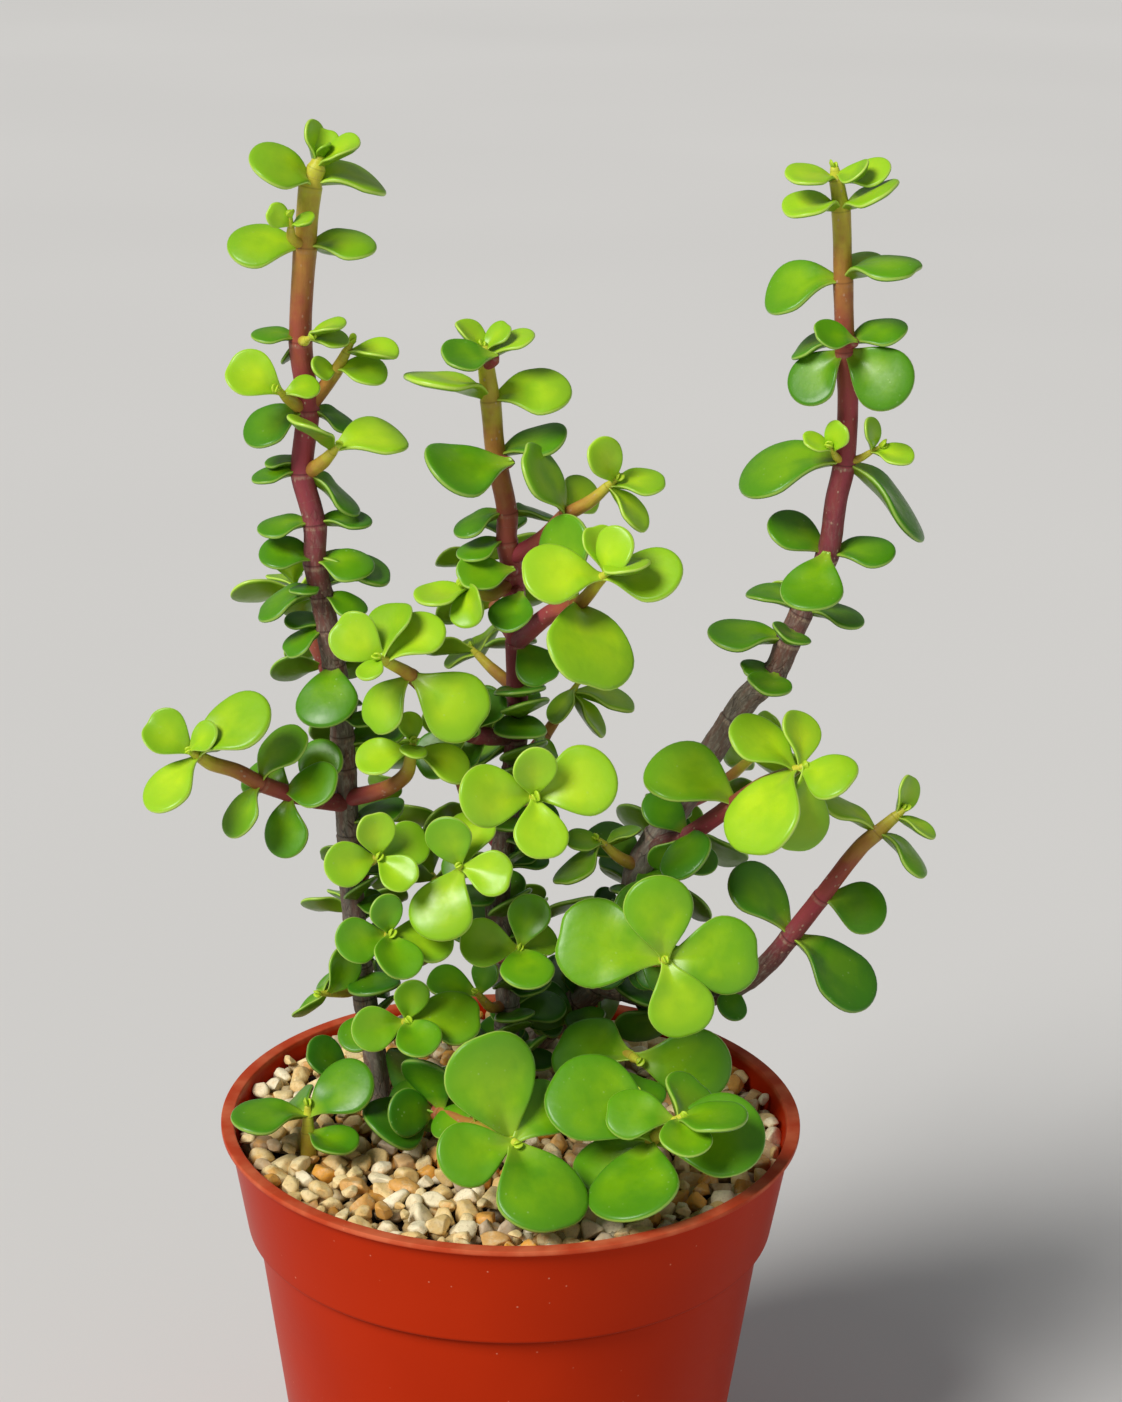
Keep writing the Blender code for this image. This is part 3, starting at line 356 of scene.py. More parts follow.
        [(21, 21, 114)], [(23, 5, 118)], [(25, -8, 122), (105, -10, 14)],
        [(26, -18, 126), (168, -7, 19.5), (5, 8, 17, -3), (99, 11, 15), (288, 5, 14)],
    ]),
    ("right_plant", 1.5, 1.2, [
        [(10, 30, 94)], [(16, 14, 97), (97, -75, 10, 4, -3)], [(22, 0, 99), (355, 30, 18), (181, -62, 18, 41, -29)],
    ]),
    ("right_plant", 1.4, 0.9, [
        [(23, 18, 129)], [(19.3, 15, 131.8)],
        [(16.4, 14, 134.7), (214, 57, 8, 17, 39), (31, -28, 7.5, -7, -3), (228, 14, 12, -7, -23)],
    ]),
    ("right_plant", 1.1, 0.8, [
        [(55.1, 5.4, 229.4)], [(56.1, 3, 230)], [(56.5, 2, 230.4), (174, 3, 8.5, 29, 4)],
    ]),
    ("right_plant", 1.2, 0.8, [
        [(45.9, 11.2, 168.6)], [(45.8, 8.8, 168.2)], [(45.7, 8.2, 169.6), (256, 20, 10.5, 10, -5)],
    ]),
    ("right_plant", 1.2, 0.9, [
        [(53.9, 9, 191.4)], [(53.6, 6.8, 191)], [(53.5, 6.2, 192.4), (250, -8, 14, -2, -9)],
    ]),
    ("right_plant", 1.2, 0.8, [
        [(48.7, 11.2, 176.5)], [(48.4, 8.8, 176.1)], [(48.3, 8.2, 177.5), (259, 29, 9.5, 24, -4)],
    ]),
    ("right_plant", 0.8, 0.6, [
        [(56, 8, 208)], [(58.5, 7, 209)], [(60.3, 6.5, 210.3), (311, 49, 8, 30), (166, 27, 6.5, 16, 44)],
    ]),
    ("right_plant", 0.8, 0.6, [
        [(56, 8, 208)], [(54.3, 6, 209.5)], [(53.7, 5, 210.5), (171, 50, 6.5, -28, 30), (39, 49, 6.5, -5, 46)],
    ]),
    # shoots at the back
    ("left_plant", 1.5, 1.0, [
        [(-31, 6, 164)], [(-34, 14, 168), (180, 10, 10), (24, 6, 10)], [(-38, 22, 173), (270, 0, 10), (90, 0, 11)],
        [(-40, 27, 178), (180, 10, 12), (0, 15, 12), (110, 44, 9), (270, 30, 8)],
    ]),
    ("left_plant", 1.5, 1.0, [
        [(-29, 7, 126)], [(-27, 15, 130), (180, 0, 9), (0, 0, 10)],
        [(-25, 23, 136), (180, 15, 10), (0, 10, 11), (110, 44, 10), (270, 20, 9)],
    ]),
    ("left_plant", 1.4, 1.0, [
        [(-27, 8, 107)], [(-29, 17, 111), (90, 10, 10)], [(-30, 24, 117), (180, 15, 10), (0, 10, 11), (110, 44, 9)],
    ]),
    ("middle_plant", 1.5, 1.0, [
        [(0, 8, 175)], [(-4, 17, 179), (180, 0, 11), (0, 0, 10)],
        [(-6, 25, 185), (182, 2, 9), (0, 10, 12), (90, 27, 10)],
    ]),
    ("middle_plant", 1.6, 1.0, [
        [(-2, 11, 135)], [(-8, 21, 139), (180, -12, 11), (10, 0, 11)],
        [(-12, 31, 146), (180, 10, 14), (0, 10, 14), (90, 27, 11), (270, 25, 10)],
    ]),
    ("middle_plant", 1.5, 1.0, [
        [(-2, 13, 110)], [(-10, 24, 114), (150, 0, 11)],
        [(-15, 33, 120), (202, 10, 13), (10, 10, 12), (110, 44, 10), (282, 20, 8)],
    ]),
    ("middle_plant", 1.3, 0.9, [
        [(0, 8.5, 166)], [(-4, 13, 168)],
        [(-7, 16, 170), (101, 49, 9, 18, 3), (39, 52, 11, 18, -44), (175, 38, 9, 6, 25)],
    ]),
    ("middle_plant", 1.4, 0.9, [
        [(-1, 10, 149)], [(5.3, 17, 154.6), (305, -39, 7.5, -5, -10)],
        [(10.1, 21, 161.5), (359, -27, 10, 13, -1), (7, 18, 12, 20, 26), (292, -74, 8.5, 68, 27)],
    ]),
    ("right_plant", 1.7, 1.0, [
        [(30, 16, 142)], [(37, 25, 142), (180, 0, 11), (0, 0, 12)],
        [(44, 33, 145), (140, 10, 9), (0, 10, 13), (110, 39, 12), (270, 25, 9)],
    ]),
    ("right_plant", 1.5, 1.0, [
        [(46, 12, 169)], [(50, 20, 173)], [(52, 26, 178), (180, 10, 7), (110, 44, 10)],
    ]),
    ("right_plant", 1.7, 1.0, [
        [(21, 22, 115)], [(27, 32, 119), (180, 0, 12), (0, -5, 12)],
        [(31, 40, 125), (180, 10, 14), (0, 10, 14), (110, 39, 12), (270, 25, 9)],
    ]),
    ("right_plant", 1.5, 1.0, [
        [(10, 30, 94)], [(6, 41, 99), (180, 0, 11)],
        [(4, 47, 106), (180, 10, 13), (0, 10, 13), (90, 27, 10), (270, 30, 8)],
    ]),
    # the low cuttings
    ("front_cutting", 1.8, 1.3, [
        [(-19, 3, 72)], [(-19, 2, 87), (118, 47, 12.5, -71, -64)],
        [(-16, -6, 91.3), (210, 32, 14.5, 31, 1), (83, -67, 13, 45, 9)],
        [(-12, -13, 93.6), (198, -48, 9, -6, 6), (122, 5, 13, -70, -45)],
        [(-6, -21, 95), (180, -74, 10, 39, 8), (78, 0, 9)],
        [(0, -32, 98), (109, 0, 20, 7, 7), (277, 48, 19.5, -3, 13), (192, -7, 14, 22), (41, -4, 13, 28, 8)],
    ]),
    ("right_cutting", 1.8, 1.2, [
        [(19, -12, 72)], [(20, -13, 86)], [(21, -21, 92)],
        [(24, -29, 97), (257, 16, 19.5, 50, 8), (0, 34, 20, -2, 24), (152, -11, 21, 7, 40),
         (215, -32, 15.5, 23, -30)],
        [(28, -32, 102), (172, -30, 12.5, 4, 31), (318, 59, 14, -2, 32), (60, -9, 13.5, -1, -40),
         (263, 21, 11, 25, 11)],
    ]),
    ("right_cutting", 1.5, 1.1, [
        [(21, -19, 90)], [(22, -15, 93), (84, 63, 10.5, 22, 44)], [(22, -14, 96)],
    ]),
    ("seedling", 1.6, 1.1, [
        [(-36, -14, 72)], [(-36, -13, 84)], [(-36, -13, 90), (318, -3, 11, 0, 8)],
        [(-36, -13, 93), (198, 5, 14), (9, 38, 14, 27, 16), (111, -16, 10.5, 31, 6)],
    ]),
    ("seedling", 1.2, 0.9, [
        [(-36, -12.6, 92)], [(-32.5, -7, 94)], [(-29.2, -1.2, 95.8), (227, -28, 10.5, 70, 10)],
    ]),
]


def unit(vector):
    return vector / np.linalg.norm(vector)


def tangents(points):
    """The direction of a chain of points at each of them."""
    steps = [unit(b - a) for a, b in zip(points, points[1:])]
    inner = [unit(a + b) for a, b in zip(steps, steps[1:])]
    return [steps[0], *inner, steps[-1]]


def turned(vector, axis, angle):
    """The vector turned about a unit axis."""
    along = axis * np.dot(axis, vector)
    return along + (vector - along) * math.cos(angle) + np.cross(axis, vector) * math.sin(angle)


def shares(first, last, count):
    """Evenly spaced values from the first to the last."""
    return [first + (last - first) * k / (count - 1) for k in range(count)]


def smooth_step(value):
    """0 below 0, 1 above 1 and a soft rise between."""
    held = np.clip(value, 0.0, 1.0)
    return held * held * (3 - 2 * held)


class Leaf:
    """One leaf: a flat outline, bent along its length, with its upper face towards the shoot's tip and the light."""

    def __init__(self, foot, axis, azimuth, rise, length, tilt, droop):
        self.foot = foot
        self.length = length
        self.thickness = min(MOST_THICKNESS, max(LEAST_THICKNESS, LEAF_THICKNESS * length))
        self.droop = math.radians(droop)
        turn = math.radians(azimuth)
        lift = math.radians(rise)
        right = unit(np.array([1.0, 0.0, 0.0]) - axis * axis[0])
        back = np.cross(axis, right)
        out = right * math.cos(turn) + back * math.sin(turn)
        along = out * math.cos(lift) + axis * math.sin(lift)
        face = unit(axis - along * np.dot(along, axis))
        light = np.array(LIGHT)
        light = unit(light - along * np.dot(along, light))
        angle = math.atan2(np.dot(np.cross(face, light), along), np.dot(face, light))
        share = LIGHT_SHARE * min(abs(angle), MOST_LIGHT_TURN)
        face = turned(face, along, math.copysign(math.radians(tilt) + share, angle))
        half = self.droop / 2
        self.across = np.cross(face, along)
        self.along = along * math.cos(half) + face * math.sin(half)
        self.face = np.cross(self.along, self.across)

    def bent(self, reach, side, height):
        """Places from distances along the leaf, to its side and over its middle surface."""
        part = np.asarray(reach, float) / self.length
        bend = self.droop * part
        run = np.sin(bend) / self.droop
        drop = (1 - np.cos(bend)) / self.droop
        face = np.multiply.outer(np.cos(bend), self.face) + np.multiply.outer(np.sin(bend), self.along)
        path = np.multiply.outer(run, self.along) - np.multiply.outer(drop, self.face)
        aside = np.multiply.outer(side, self.across)
        return self.foot + self.length * path + aside + face * np.expand_dims(height, -1)

    def at(self, part, side):
        """Points of the plain outline at parts of the length, to the side from -1 to 1."""
        half_width = self.length * LEAF_WIDTH / 2
        out = np.asarray(side) * half_width * np.interp(part, OUTLINE_PARTS, OUTLINE_WIDTHS)
        return self.bent(np.asarray(part) * self.length, out, np.zeros(np.shape(part)))

    def blade(self):
        """Points spread over the wide part."""
        parts, sides = np.meshgrid(BLADE_PARTS, BLADE_SIDES)
        return self.at(parts.T.ravel(), sides.T.ravel())

    def stalk(self):
        """Points along the narrow part."""
        return self.at(np.array(STALK_PARTS), np.zeros(len(STALK_PARTS)))


def least_distance(points, others, radii=0.0):
    """The least distance between two sets of points, less the radii of the second."""
    if not len(points) or not len(others):
        return FAR
    away = np.linalg.norm(points[:, None, :] - others[None, :, :], axis=2)
    return float((away - radii).min())


def stem_points():
    """Points along every shoot, with the radius, the shoot's number and the plant."""
    rows = []
    for number, (plant, foot_radius, tip_radius, nodes) in enumerate(SHOOTS):
        points = node_places(nodes)
        radii = shares(foot_radius, tip_radius, len(points))
        for start, end, first, last in zip(points, points[1:], radii, radii[1:]):
            count = max(2, int(np.linalg.norm(end - start) / STEM_SAMPLE))
            for share in shares(0.0, 1.0, count):
                rows.append((start + (end - start) * share, first + (last - first) * share, number, plant))
    places, radii, numbers, plants = zip(*rows)
    return np.array(places), np.array(radii), np.array(numbers), np.array(plants)


def room_round(leaf, number, plant, stems, grown):
    """How far a leaf stays from what it mustn't cross, less the distance that it needs."""
    blade = leaf.blade()
    whole = np.concatenate([blade, leaf.stalk()])
    places, radii, numbers, plants = stems
    near = np.linalg.norm(places - leaf.foot, axis=1) < NEAR_STEMS
    own = near & (numbers != number) & (plants == plant)
    foreign = near & (plants != plant)
    rooms = [
        least_distance(blade, places[own], radii[own]) - STEM_CLEARANCE,
        least_distance(whole, places[foreign], radii[foreign]) - STEM_CLEARANCE,
    ]
    for other in grown:
        if np.linalg.norm(other.foot - leaf.foot) > NEAR_LEAVES:
            continue
        if other.plant == plant:
            rooms.append(least_distance(blade, other.blade_points) - BLADE_CLEARANCE)
        else:
            rooms.append(least_distance(whole, other.all_points) - PLANT_CLEARANCE)
    over_pot = np.hypot(whole[:, 0], whole[:, 1]) < LIP_RADIUS + LIP_MARGIN
    if over_pot.any():
        rooms.append(float(whole[over_pot, 2].min()) - FLOOR_CLEARANCE)
    return min(rooms)


def node_places(nodes):
    return [np.array(node[0], float) for node in nodes]


def is_spur(nodes):
    """Whether a shoot is no more than the foot of one leaf on old wood."""
    leaves = [len(node) - 1 for node in nodes]
    return leaves[-1] == 1 and sum(leaves) == 1


def grow_leaves():
    """Every leaf, with its plant and its distance from the shoot's tip. A leaf that would cross an earlier one is
    turned aside, as crowded leaves grow."""
    stems = stem_points()
    grown = []
    for number, (plant, _, _, nodes) in enumerate(SHOOTS):
        points = node_places(nodes)
        for order, (node, axis) in enumerate(zip(nodes, tangents(points))):
            rest = [np.linalg.norm(b - a) for a, b in zip(points[order:], points[order + 1 :])]
            for rank, entry in enumerate(node[1:]):
                azimuth, rise, length = entry[:3]
                tilt = entry[3] if len(entry) > 3 else 0
                droop = entry[4] if len(entry) > 4 else LEAF_DROOP
                foot = points[order] + axis * LEAF_STEP * (rank // 2)
                best_room = -FAR
                for turn, lift in TURNS_TRIED:
                    leaf = Leaf(foot, axis, azimuth + turn, rise + lift, length, tilt, droop)
                    room = room_round(leaf, number, plant, stems, grown)
                    if room > best_room + WORTH_A_TURN:
                        best_room = room
                        best = leaf
                    if room >= 0:
                        break
                best.plant = plant
                best.from_tip = sum(rest)
                best.on_spur = is_spur(nodes)
                best.blade_points = best.blade()
                best.all_points = np.concatenate([best.blade_points, best.stalk()])
                grown.append(best)
    return grown


def new_piece(name, points, faces, surface, nodes, values=None):
    """A smooth piece from points in millimetres and faces, with its surface, that stands for nodes of the frame."""
    data = bpy.data.meshes.new(name)
    data.from_pydata((np.asarray(points) * MM).tolist(), [], faces)
    for key, rows in (values or {}).items():
        rows = np.asarray(rows, np.float32)
        kind = "FLOAT_VECTOR" if rows.ndim == 2 else "FLOAT"
        field = "vector" if rows.ndim == 2 else "value"
        data.attributes.new(key, kind, "POINT").data.foreach_set(field, rows.ravel())
    data.materials.append(surface)
    data.shade_smooth()
    data.update()
    piece = bpy.data.objects.new(name, data)
    bpy.context.scene.collection.objects.link(piece)
    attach(piece, "root")
    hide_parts(*nodes)
    return piece


def merged(parts):
    """Several (points, faces, values) as one."""
    points = np.concatenate([part[0] for part in parts])
    faces = []
    start = 0
    for part in parts:
        faces += [tuple(corner + start for corner in face) for face in part[1]]
        start += len(part[0])
    values = {key: np.concatenate([part[2][key] for part in parts]) for key in parts[0][2]}
    return points, faces, values


def colour(text):
    """A linear colour from its usual six-digit form."""
    parts = [int(text[k : k + 2], 16) / 255 for k in (0, 2, 4)]
    return tuple(part / 12.92 if part <= 0.04045 else ((part + 0.055) / 1.055) ** 2.4 for part in parts) + (1.0,)


class Surface:
    """A material on Principled BSDF whose nodes are added one at a time."""

    def __init__(self, name, **settings):
        self.material = bpy.data.materials.new(name)
        self.material.use_nodes = True
        self.tree = self.material.node_tree
        self.shader = self.tree.nodes["Principled BSDF"]
        for key, value in settings.items():
            label = key.replace("_", " ").title().replace("Ior", "IOR")
            self.shader.inputs[label].default_value = value

    def put(self, socket, value):
        """A constant or another node's output into a socket."""
        if isinstance(value, bpy.types.NodeSocket):
            self.tree.links.new(value, socket)
        else:
            socket.default_value = value

    def place(self, name):
        """A vector that the mesh carries, with its three numbers."""
        node = self.tree.nodes.new("ShaderNodeAttribute")
        node.attribute_name = name
        split = self.tree.nodes.new("ShaderNodeSeparateXYZ")
        self.tree.links.new(node.outputs["Vector"], split.inputs[0])
        return node.outputs["Vector"], split.outputs[0], split.outputs[1], split.outputs[2]

    def height(self, vector):
        """How high a place is."""
        node = self.tree.nodes.new("ShaderNodeSeparateXYZ")
        self.put(node.inputs[0], vector)
        return node.outputs[2]

    def where(self):
        """The place on the object."""
        return self.tree.nodes.new("ShaderNodeTexCoord").outputs["Object"]

    def maths(self, operation, *values):
        """The outcome of an operation on numbers or outputs."""
        node = self.tree.nodes.new("ShaderNodeMath")
        node.operation = operation
        for socket, value in zip(node.inputs, values):
            self.put(socket, value)
        return node.outputs[0]

    def times(self, first, second):
        return self.maths("MULTIPLY", first, second)

    def spread(self, value, low, high, out_low=0.0, out_high=1.0):
        """The value's way from low to high, as a value from out_low to out_high."""
        node = self.tree.nodes.new("ShaderNodeMapRange")
        for socket, number in zip(node.inputs, (value, low, high, out_low, out_high)):
            self.put(socket, number)
        return node.outputs[0]

    def stretched(self, vector, scale):
        """A place with each of its directions scaled."""
        node = self.tree.nodes.new("ShaderNodeMapping")
        self.put(node.inputs["Vector"], vector)
        node.inputs["Scale"].default_value = scale
        return node.outputs[0]

    def noise(self, vector, scale, detail=2.0, roughness=0.5):
        """Soft clouds from 0 to 1."""
        node = self.tree.nodes.new("ShaderNodeTexNoise")
        self.put(node.inputs["Vector"], vector)
        node.inputs["Scale"].default_value = scale
        node.inputs["Detail"].default_value = detail
        node.inputs["Roughness"].default_value = roughness
        return node.outputs["Fac"]

    def cells(self, vector, scale, feature="F1", output="Distance"):
        """Distances from scattered points, or from the borders between them."""
        node = self.tree.nodes.new("ShaderNodeTexVoronoi")
        node.feature = feature
        self.put(node.inputs["Vector"], vector)
        node.inputs["Scale"].default_value = scale
        return node.outputs[output]

    def mix(self, share, first, second, blend="MIX"):
        node = self.tree.nodes.new("ShaderNodeMix")
        node.data_type = "RGBA"
        node.blend_type = blend
        self.put(node.inputs[0], share)
        self.put(node.inputs[6], first)
        self.put(node.inputs[7], second)
        return node.outputs[2]

    def over(self, tone, share, paint):
        """The tone with a share of a colour laid over it."""
        return self.mix(share, tone, colour(paint))

    def ramp(self, value, *stops):
        """A colour from stops of (value, colour)."""
        node = self.tree.nodes.new("ShaderNodeValToRGB")
        steps = node.color_ramp.elements
        while len(steps) < len(stops):
            steps.new(0.5)
        for step, (position, tone) in zip(steps, stops):
            step.position = position
            step.color = colour(tone)
        self.put(node.inputs[0], value)
        return node.outputs[0]

    def relief(self, *layers):
        """Bumps from layers of (height from 0 to 1, depth in millimetres)."""
        normal = None
        for height, depth in layers:
            node = self.tree.nodes.new("ShaderNodeBump")
            self.put(node.inputs["Height"], height)
            node.inputs["Distance"].default_value = depth * MM
            if normal:
                self.tree.links.new(normal, node.inputs["Normal"])
            normal = node.outputs["Normal"]
        self.tree.links.new(normal, self.shader.inputs["Normal"])

    def finish(self, tone, roughness):
        """The material with its colour and roughness set."""
        self.put(self.shader.inputs["Base Color"], tone)
        self.put(self.shader.inputs["Roughness"], roughness)
        return self.material


def leaf_surface():
    """Waxy green, yellower in the middle and when young, darker when old and, as painted shade, low in the plant, with
    a pale rim and an underside painted darker and more olive as shade.
    """
    skin = Surface(
        "leaf_skin",
        specular_ior_level=0.3,
        coat_weight=0.18,
        coat_roughness=0.24,
        subsurface_weight=0.15,
        subsurface_scale=0.0012,
        subsurface_radius=(0.6, 1.0, 0.12),
    )
    where = skin.where()
    _, part, edge, upper = skin.place("leaf_place")
    _, age, tint, size = skin.place("leaf_life")
    cloud = skin.noise(where, 170.0, 3.0)
    fine = skin.noise(where, 900.0, 2.0)
    aged_and_shaded = skin.maths("ADD", age, skin.spread(tint, 0.0, 1.0, -0.12, 0.12))
    rim_tone = skin.ramp(aged_and_shaded, (0.0, "9ED022"), (0.3, "5E9E10"), (0.62, "3A7A10"), (1.0, "265A18"))
    heart_tone = skin.ramp(aged_and_shaded, (0.0, "C2E422"), (0.3, "86B80A"), (0.62, "629A08"), (1.0, "467C10"))
    inward = skin.spread(edge, 0.4, 3.0)
    lengthwise = skin.spread(part, 1.0, 0.5)
    heart = skin.times(skin.times(inward, lengthwise), skin.spread(cloud, 0.25, 0.6))
    tone = skin.mix(heart, rim_tone, heart_tone)
    stalk = skin.spread(part, 0.30, 0.10)
    tone = skin.over(tone, skin.times(stalk, 0.5), "B9D63A")
    # Painted shade: the underside of each leaf is darkened and turned olive, as if in shade.
    shade = skin.spread(upper, -0.1, -0.7)
    tone = skin.mix(skin.times(shade, 0.8), tone, colour("8FA860"), "MULTIPLY")
    tone = skin.over(tone, skin.times(shade, 0.25), "8DA51E")
    line = skin.times(skin.spread(edge, 0.20, 0.03), skin.spread(upper, -0.45, 0.0))
    line = skin.times(line, skin.spread(aged_and_shaded, 0.1, 0.8, 0.6, 0.16))
    line = skin.times(line, skin.spread(size, 0.25, 0.6))
    tone = skin.over(tone, line, "D8EC78")
    tone = skin.over(tone, skin.spread(size, 0.28, 0.18, 0.0, 0.75), "C8E23A")
    speck = skin.spread(skin.cells(where, 620.0), 0.15, 0.08)
    speckled = skin.times(speck, skin.spread(cloud, 0.45, 0.65))
    tone = skin.over(tone, skin.times(speckled, skin.spread(age, 0.2, 1.0, 0.15, 0.5)), "B9D890")
    skin.relief((cloud, 0.2), (fine, 0.025), (speckled, 0.02))
    return skin.finish(tone, skin.spread(fine, 0.3, 0.7, 0.33, 0.45))


def bark_surface():
    """Green at the tip, then olive, red-brown and maroon, then brown and grey bark with scars and pale spots."""
    bark = Surface("stem_bark", specular_ior_level=0.25)
    place, _, _, _ = bark.place("bark_place")
    _, from_tip, ring, _ = bark.place("bark_life")
    blotch = bark.noise(place, 0.35, 3.0)
    grain = bark.noise(bark.stretched(place, (1.6, 1.6, 0.6)), 1.0, 5.0, 0.65)
    reach = bark.maths("ADD", bark.maths("DIVIDE", from_tip, 130.0), bark.spread(blotch, 0.3, 0.7, -0.03, 0.03))
    tone = bark.ramp(
        reach,
        (0.0, "D2D640"),
        (0.06, "C8B83C"),
        (0.13, "B4843A"),
        (0.22, "A4563C"),
        (0.34, "A04048"),
        (0.48, "8E3E48"),
        (0.60, "6E4A44"),
        (0.75, "726658"),
        (0.95, "7C746A"),
    )
    streak = bark.noise(bark.stretched(place, (0.9, 0.9, 0.12)), 1.0, 3.0)
    flush = bark.times(bark.spread(streak, 0.45, 0.62), bark.spread(reach, 0.05, 0.3))
    tone = bark.over(tone, bark.times(flush, 0.35), "8E4A3C")
    old = bark.spread(reach, 0.40, 0.75)
    dust = bark.times(old, bark.spread(grain, 0.48, 0.68, 0.0, 0.8))
    tone = bark.over(tone, dust, "A39C8C")
    crack = bark.spread(bark.cells(bark.stretched(place, (1.0, 1.0, 0.45)), 0.8, "DISTANCE_TO_EDGE"), 0.07, 0.01)
    crack = bark.times(crack, bark.times(old, bark.spread(blotch, 0.42, 0.6)))
    tone = bark.over(tone, bark.times(crack, 0.5), "2A201C")
    spot = bark.spread(bark.cells(bark.stretched(place, (1.0, 1.0, 0.7)), 0.85), 0.2, 0.13)
    spot = bark.times(spot, bark.spread(blotch, 0.48, 0.6))
    tone = bark.over(tone, bark.times(spot, 0.55), "C9AE94")
    away = bark.maths("ABSOLUTE", ring)
    band = bark.times(bark.spread(away, 0.20, 0.04), bark.spread(reach, 0.0, 0.5, 0.25, 0.6))
    tone = bark.over(tone, band, "38201A")
    lip = bark.spread(bark.maths("ABSOLUTE", bark.maths("ADD", ring, 0.6)), 0.42, 0.12)
    lip = bark.times(lip, bark.spread(grain, 0.4, 0.6, 0.05, 0.6))
    tone = bark.over(tone, bark.times(lip, bark.spread(reach, 0.1, 0.5, 0.3, 1.0)), "B39A80")
    bark.relief((grain, 0.12), (crack, -0.1), (spot, 0.05))
    roughness = bark.maths("ADD", bark.spread(reach, 0.1, 0.7, 0.36, 0.7), bark.spread(grain, 0.3, 0.7, -0.05, 0.08))
    return bark.finish(tone, roughness)


def stone_surface():
    """Worn pebbles, cream to ochre, each with its own tone, stains and pits."""
    stone = Surface("stone")
    where = stone.where()
    _, tint, wear, painted_shade = stone.place("stone_life")
    cloud = stone.noise(where, 420.0, 4.0, 0.6)
    fine = stone.noise(where, 1900.0, 3.0, 0.6)
    tone = stone.ramp(
        tint,
        (0.0, "F8ECC8"),
        (0.28, "F4DA9C"),
        (0.5, "E6C480"),
        (0.62, "C4B49A"),
        (0.74, "DCA85C"),
        (0.86, "E8A43A"),
        (1.0, "9A7A54"),
    )
    stain = stone.times(stone.spread(cloud, 0.50, 0.66), wear)
    tone = stone.over(tone, stone.times(stain, 0.85), "DC9C3C")
    tone = stone.over(tone, stone.spread(fine, 0.50, 0.75, 0.0, 0.45), "A08A66")
    tone = stone.over(tone, stone.spread(cloud, 0.48, 0.3, 0.0, 0.45), "F4E8C4")
    # Painted shade: pebbles of the lower layer are painted darker, as if shaded by the pebbles above them.
    tone = stone.mix(painted_shade, tone, colour("5A4A38"), "MULTIPLY")
    stone.relief((cloud, 0.2), (fine, 0.06))
    return stone.finish(tone, stone.spread(fine, 0.3, 0.7, 0.42, 0.75))


def pot_surface():
    """Red-brown moulded plastic with a soft gloss, faint turning marks, dust, a painted shadow under the step of its
    collar, and a lip painted lighter, partly as a highlight and partly as scuffs.
    """
    plastic = Surface("pot_plastic", specular_ior_level=0.03)
    where = plastic.where()
    cloud = plastic.noise(where, 26.0, 3.0)
    marks = plastic.noise(plastic.stretched(where, (30.0, 30.0, 900.0)), 1.0, 2.0)
    grit = plastic.noise(where, 1500.0, 2.0)
    tone = plastic.ramp(cloud, (0.25, "AC2808"), (0.75, "BA2E0A"))
    dust = plastic.spread(plastic.cells(where, 330.0), 0.07, 0.035)
    dust = plastic.times(dust, plastic.spread(cloud, 0.45, 0.6))
    tone = plastic.over(tone, plastic.times(dust, 0.6), "E9A283")
    height = plastic.height(where)
    # Painted shadow: a dark line is painted on the body just under the collar's step, where the overhang shades it.
    from_step = plastic.maths("ABSOLUTE", plastic.maths("SUBTRACT", height, BODY_TOP_HEIGHT * MM))
    painted_step_shadow = plastic.spread(from_step, 0.0011, 0.0002)
    tone = plastic.over(tone, plastic.times(painted_step_shadow, 0.55), "4A1004")
    # Painted highlight with some scuffs: the top of the lip is painted lighter, as if it catches the light, broken up
    # by noise.
    lip = plastic.spread(height, (POT_HEIGHT - LIP_THICKNESS - 0.2) * MM, (POT_HEIGHT - 0.5) * MM)
    sheen_and_scuffs = plastic.spread(plastic.noise(where, 160.0, 4.0), 0.4, 0.65, 0.2, 0.6)
    tone = plastic.over(tone, plastic.times(lip, sheen_and_scuffs), "E08058")
    plastic.relief((marks, 0.012), (grit, 0.012), (dust, 0.03))
    return plastic.finish(tone, plastic.spread(cloud, 0.3, 0.7, 0.30, 0.40))


def soil_surface():
    """Dark, crumbly potting mix with pale grains."""
    mix = Surface("soil_crumb")
    where = mix.where()
    crumb = mix.noise(where, 350.0, 6.0, 0.7)
    tone = mix.ramp(crumb, (0.3, "1E1611"), (0.5, "35281E"), (0.75, "5A4736"))
    grain = mix.spread(mix.cells(where, 260.0), 0.2, 0.12)
    tone = mix.over(tone, mix.times(grain, 0.7), "B9AC98")
    mix.relief((crumb, 0.9), (grain, 0.4))
    return mix.finish(tone, 0.95)


def leaf_outline():
    """The half outline from the foot to the tip: parts of the length, half widths and the spine's parts that face
    them."""
    body = np.linspace(0.0, WIDEST_PART, BODY_ROWS + 1)[:-1]
    widths = FOOT_WIDTH + (1 - FOOT_WIDTH) * smooth_step((body / WIDEST_PART) ** 0.95)
    cap = np.radians(np.linspace(0.0, 90.0, CAP_ROWS + 1))
    parts = np.concatenate([body, WIDEST_PART + (1 - WIDEST_PART) * np.sin(cap)])
    widths = np.concatenate([widths, np.cos(cap)])
    spine = np.where(parts < SPINE_END, parts, SPINE_END + (parts - SPINE_END) * SPINE_CAP)
    return parts, widths, spine


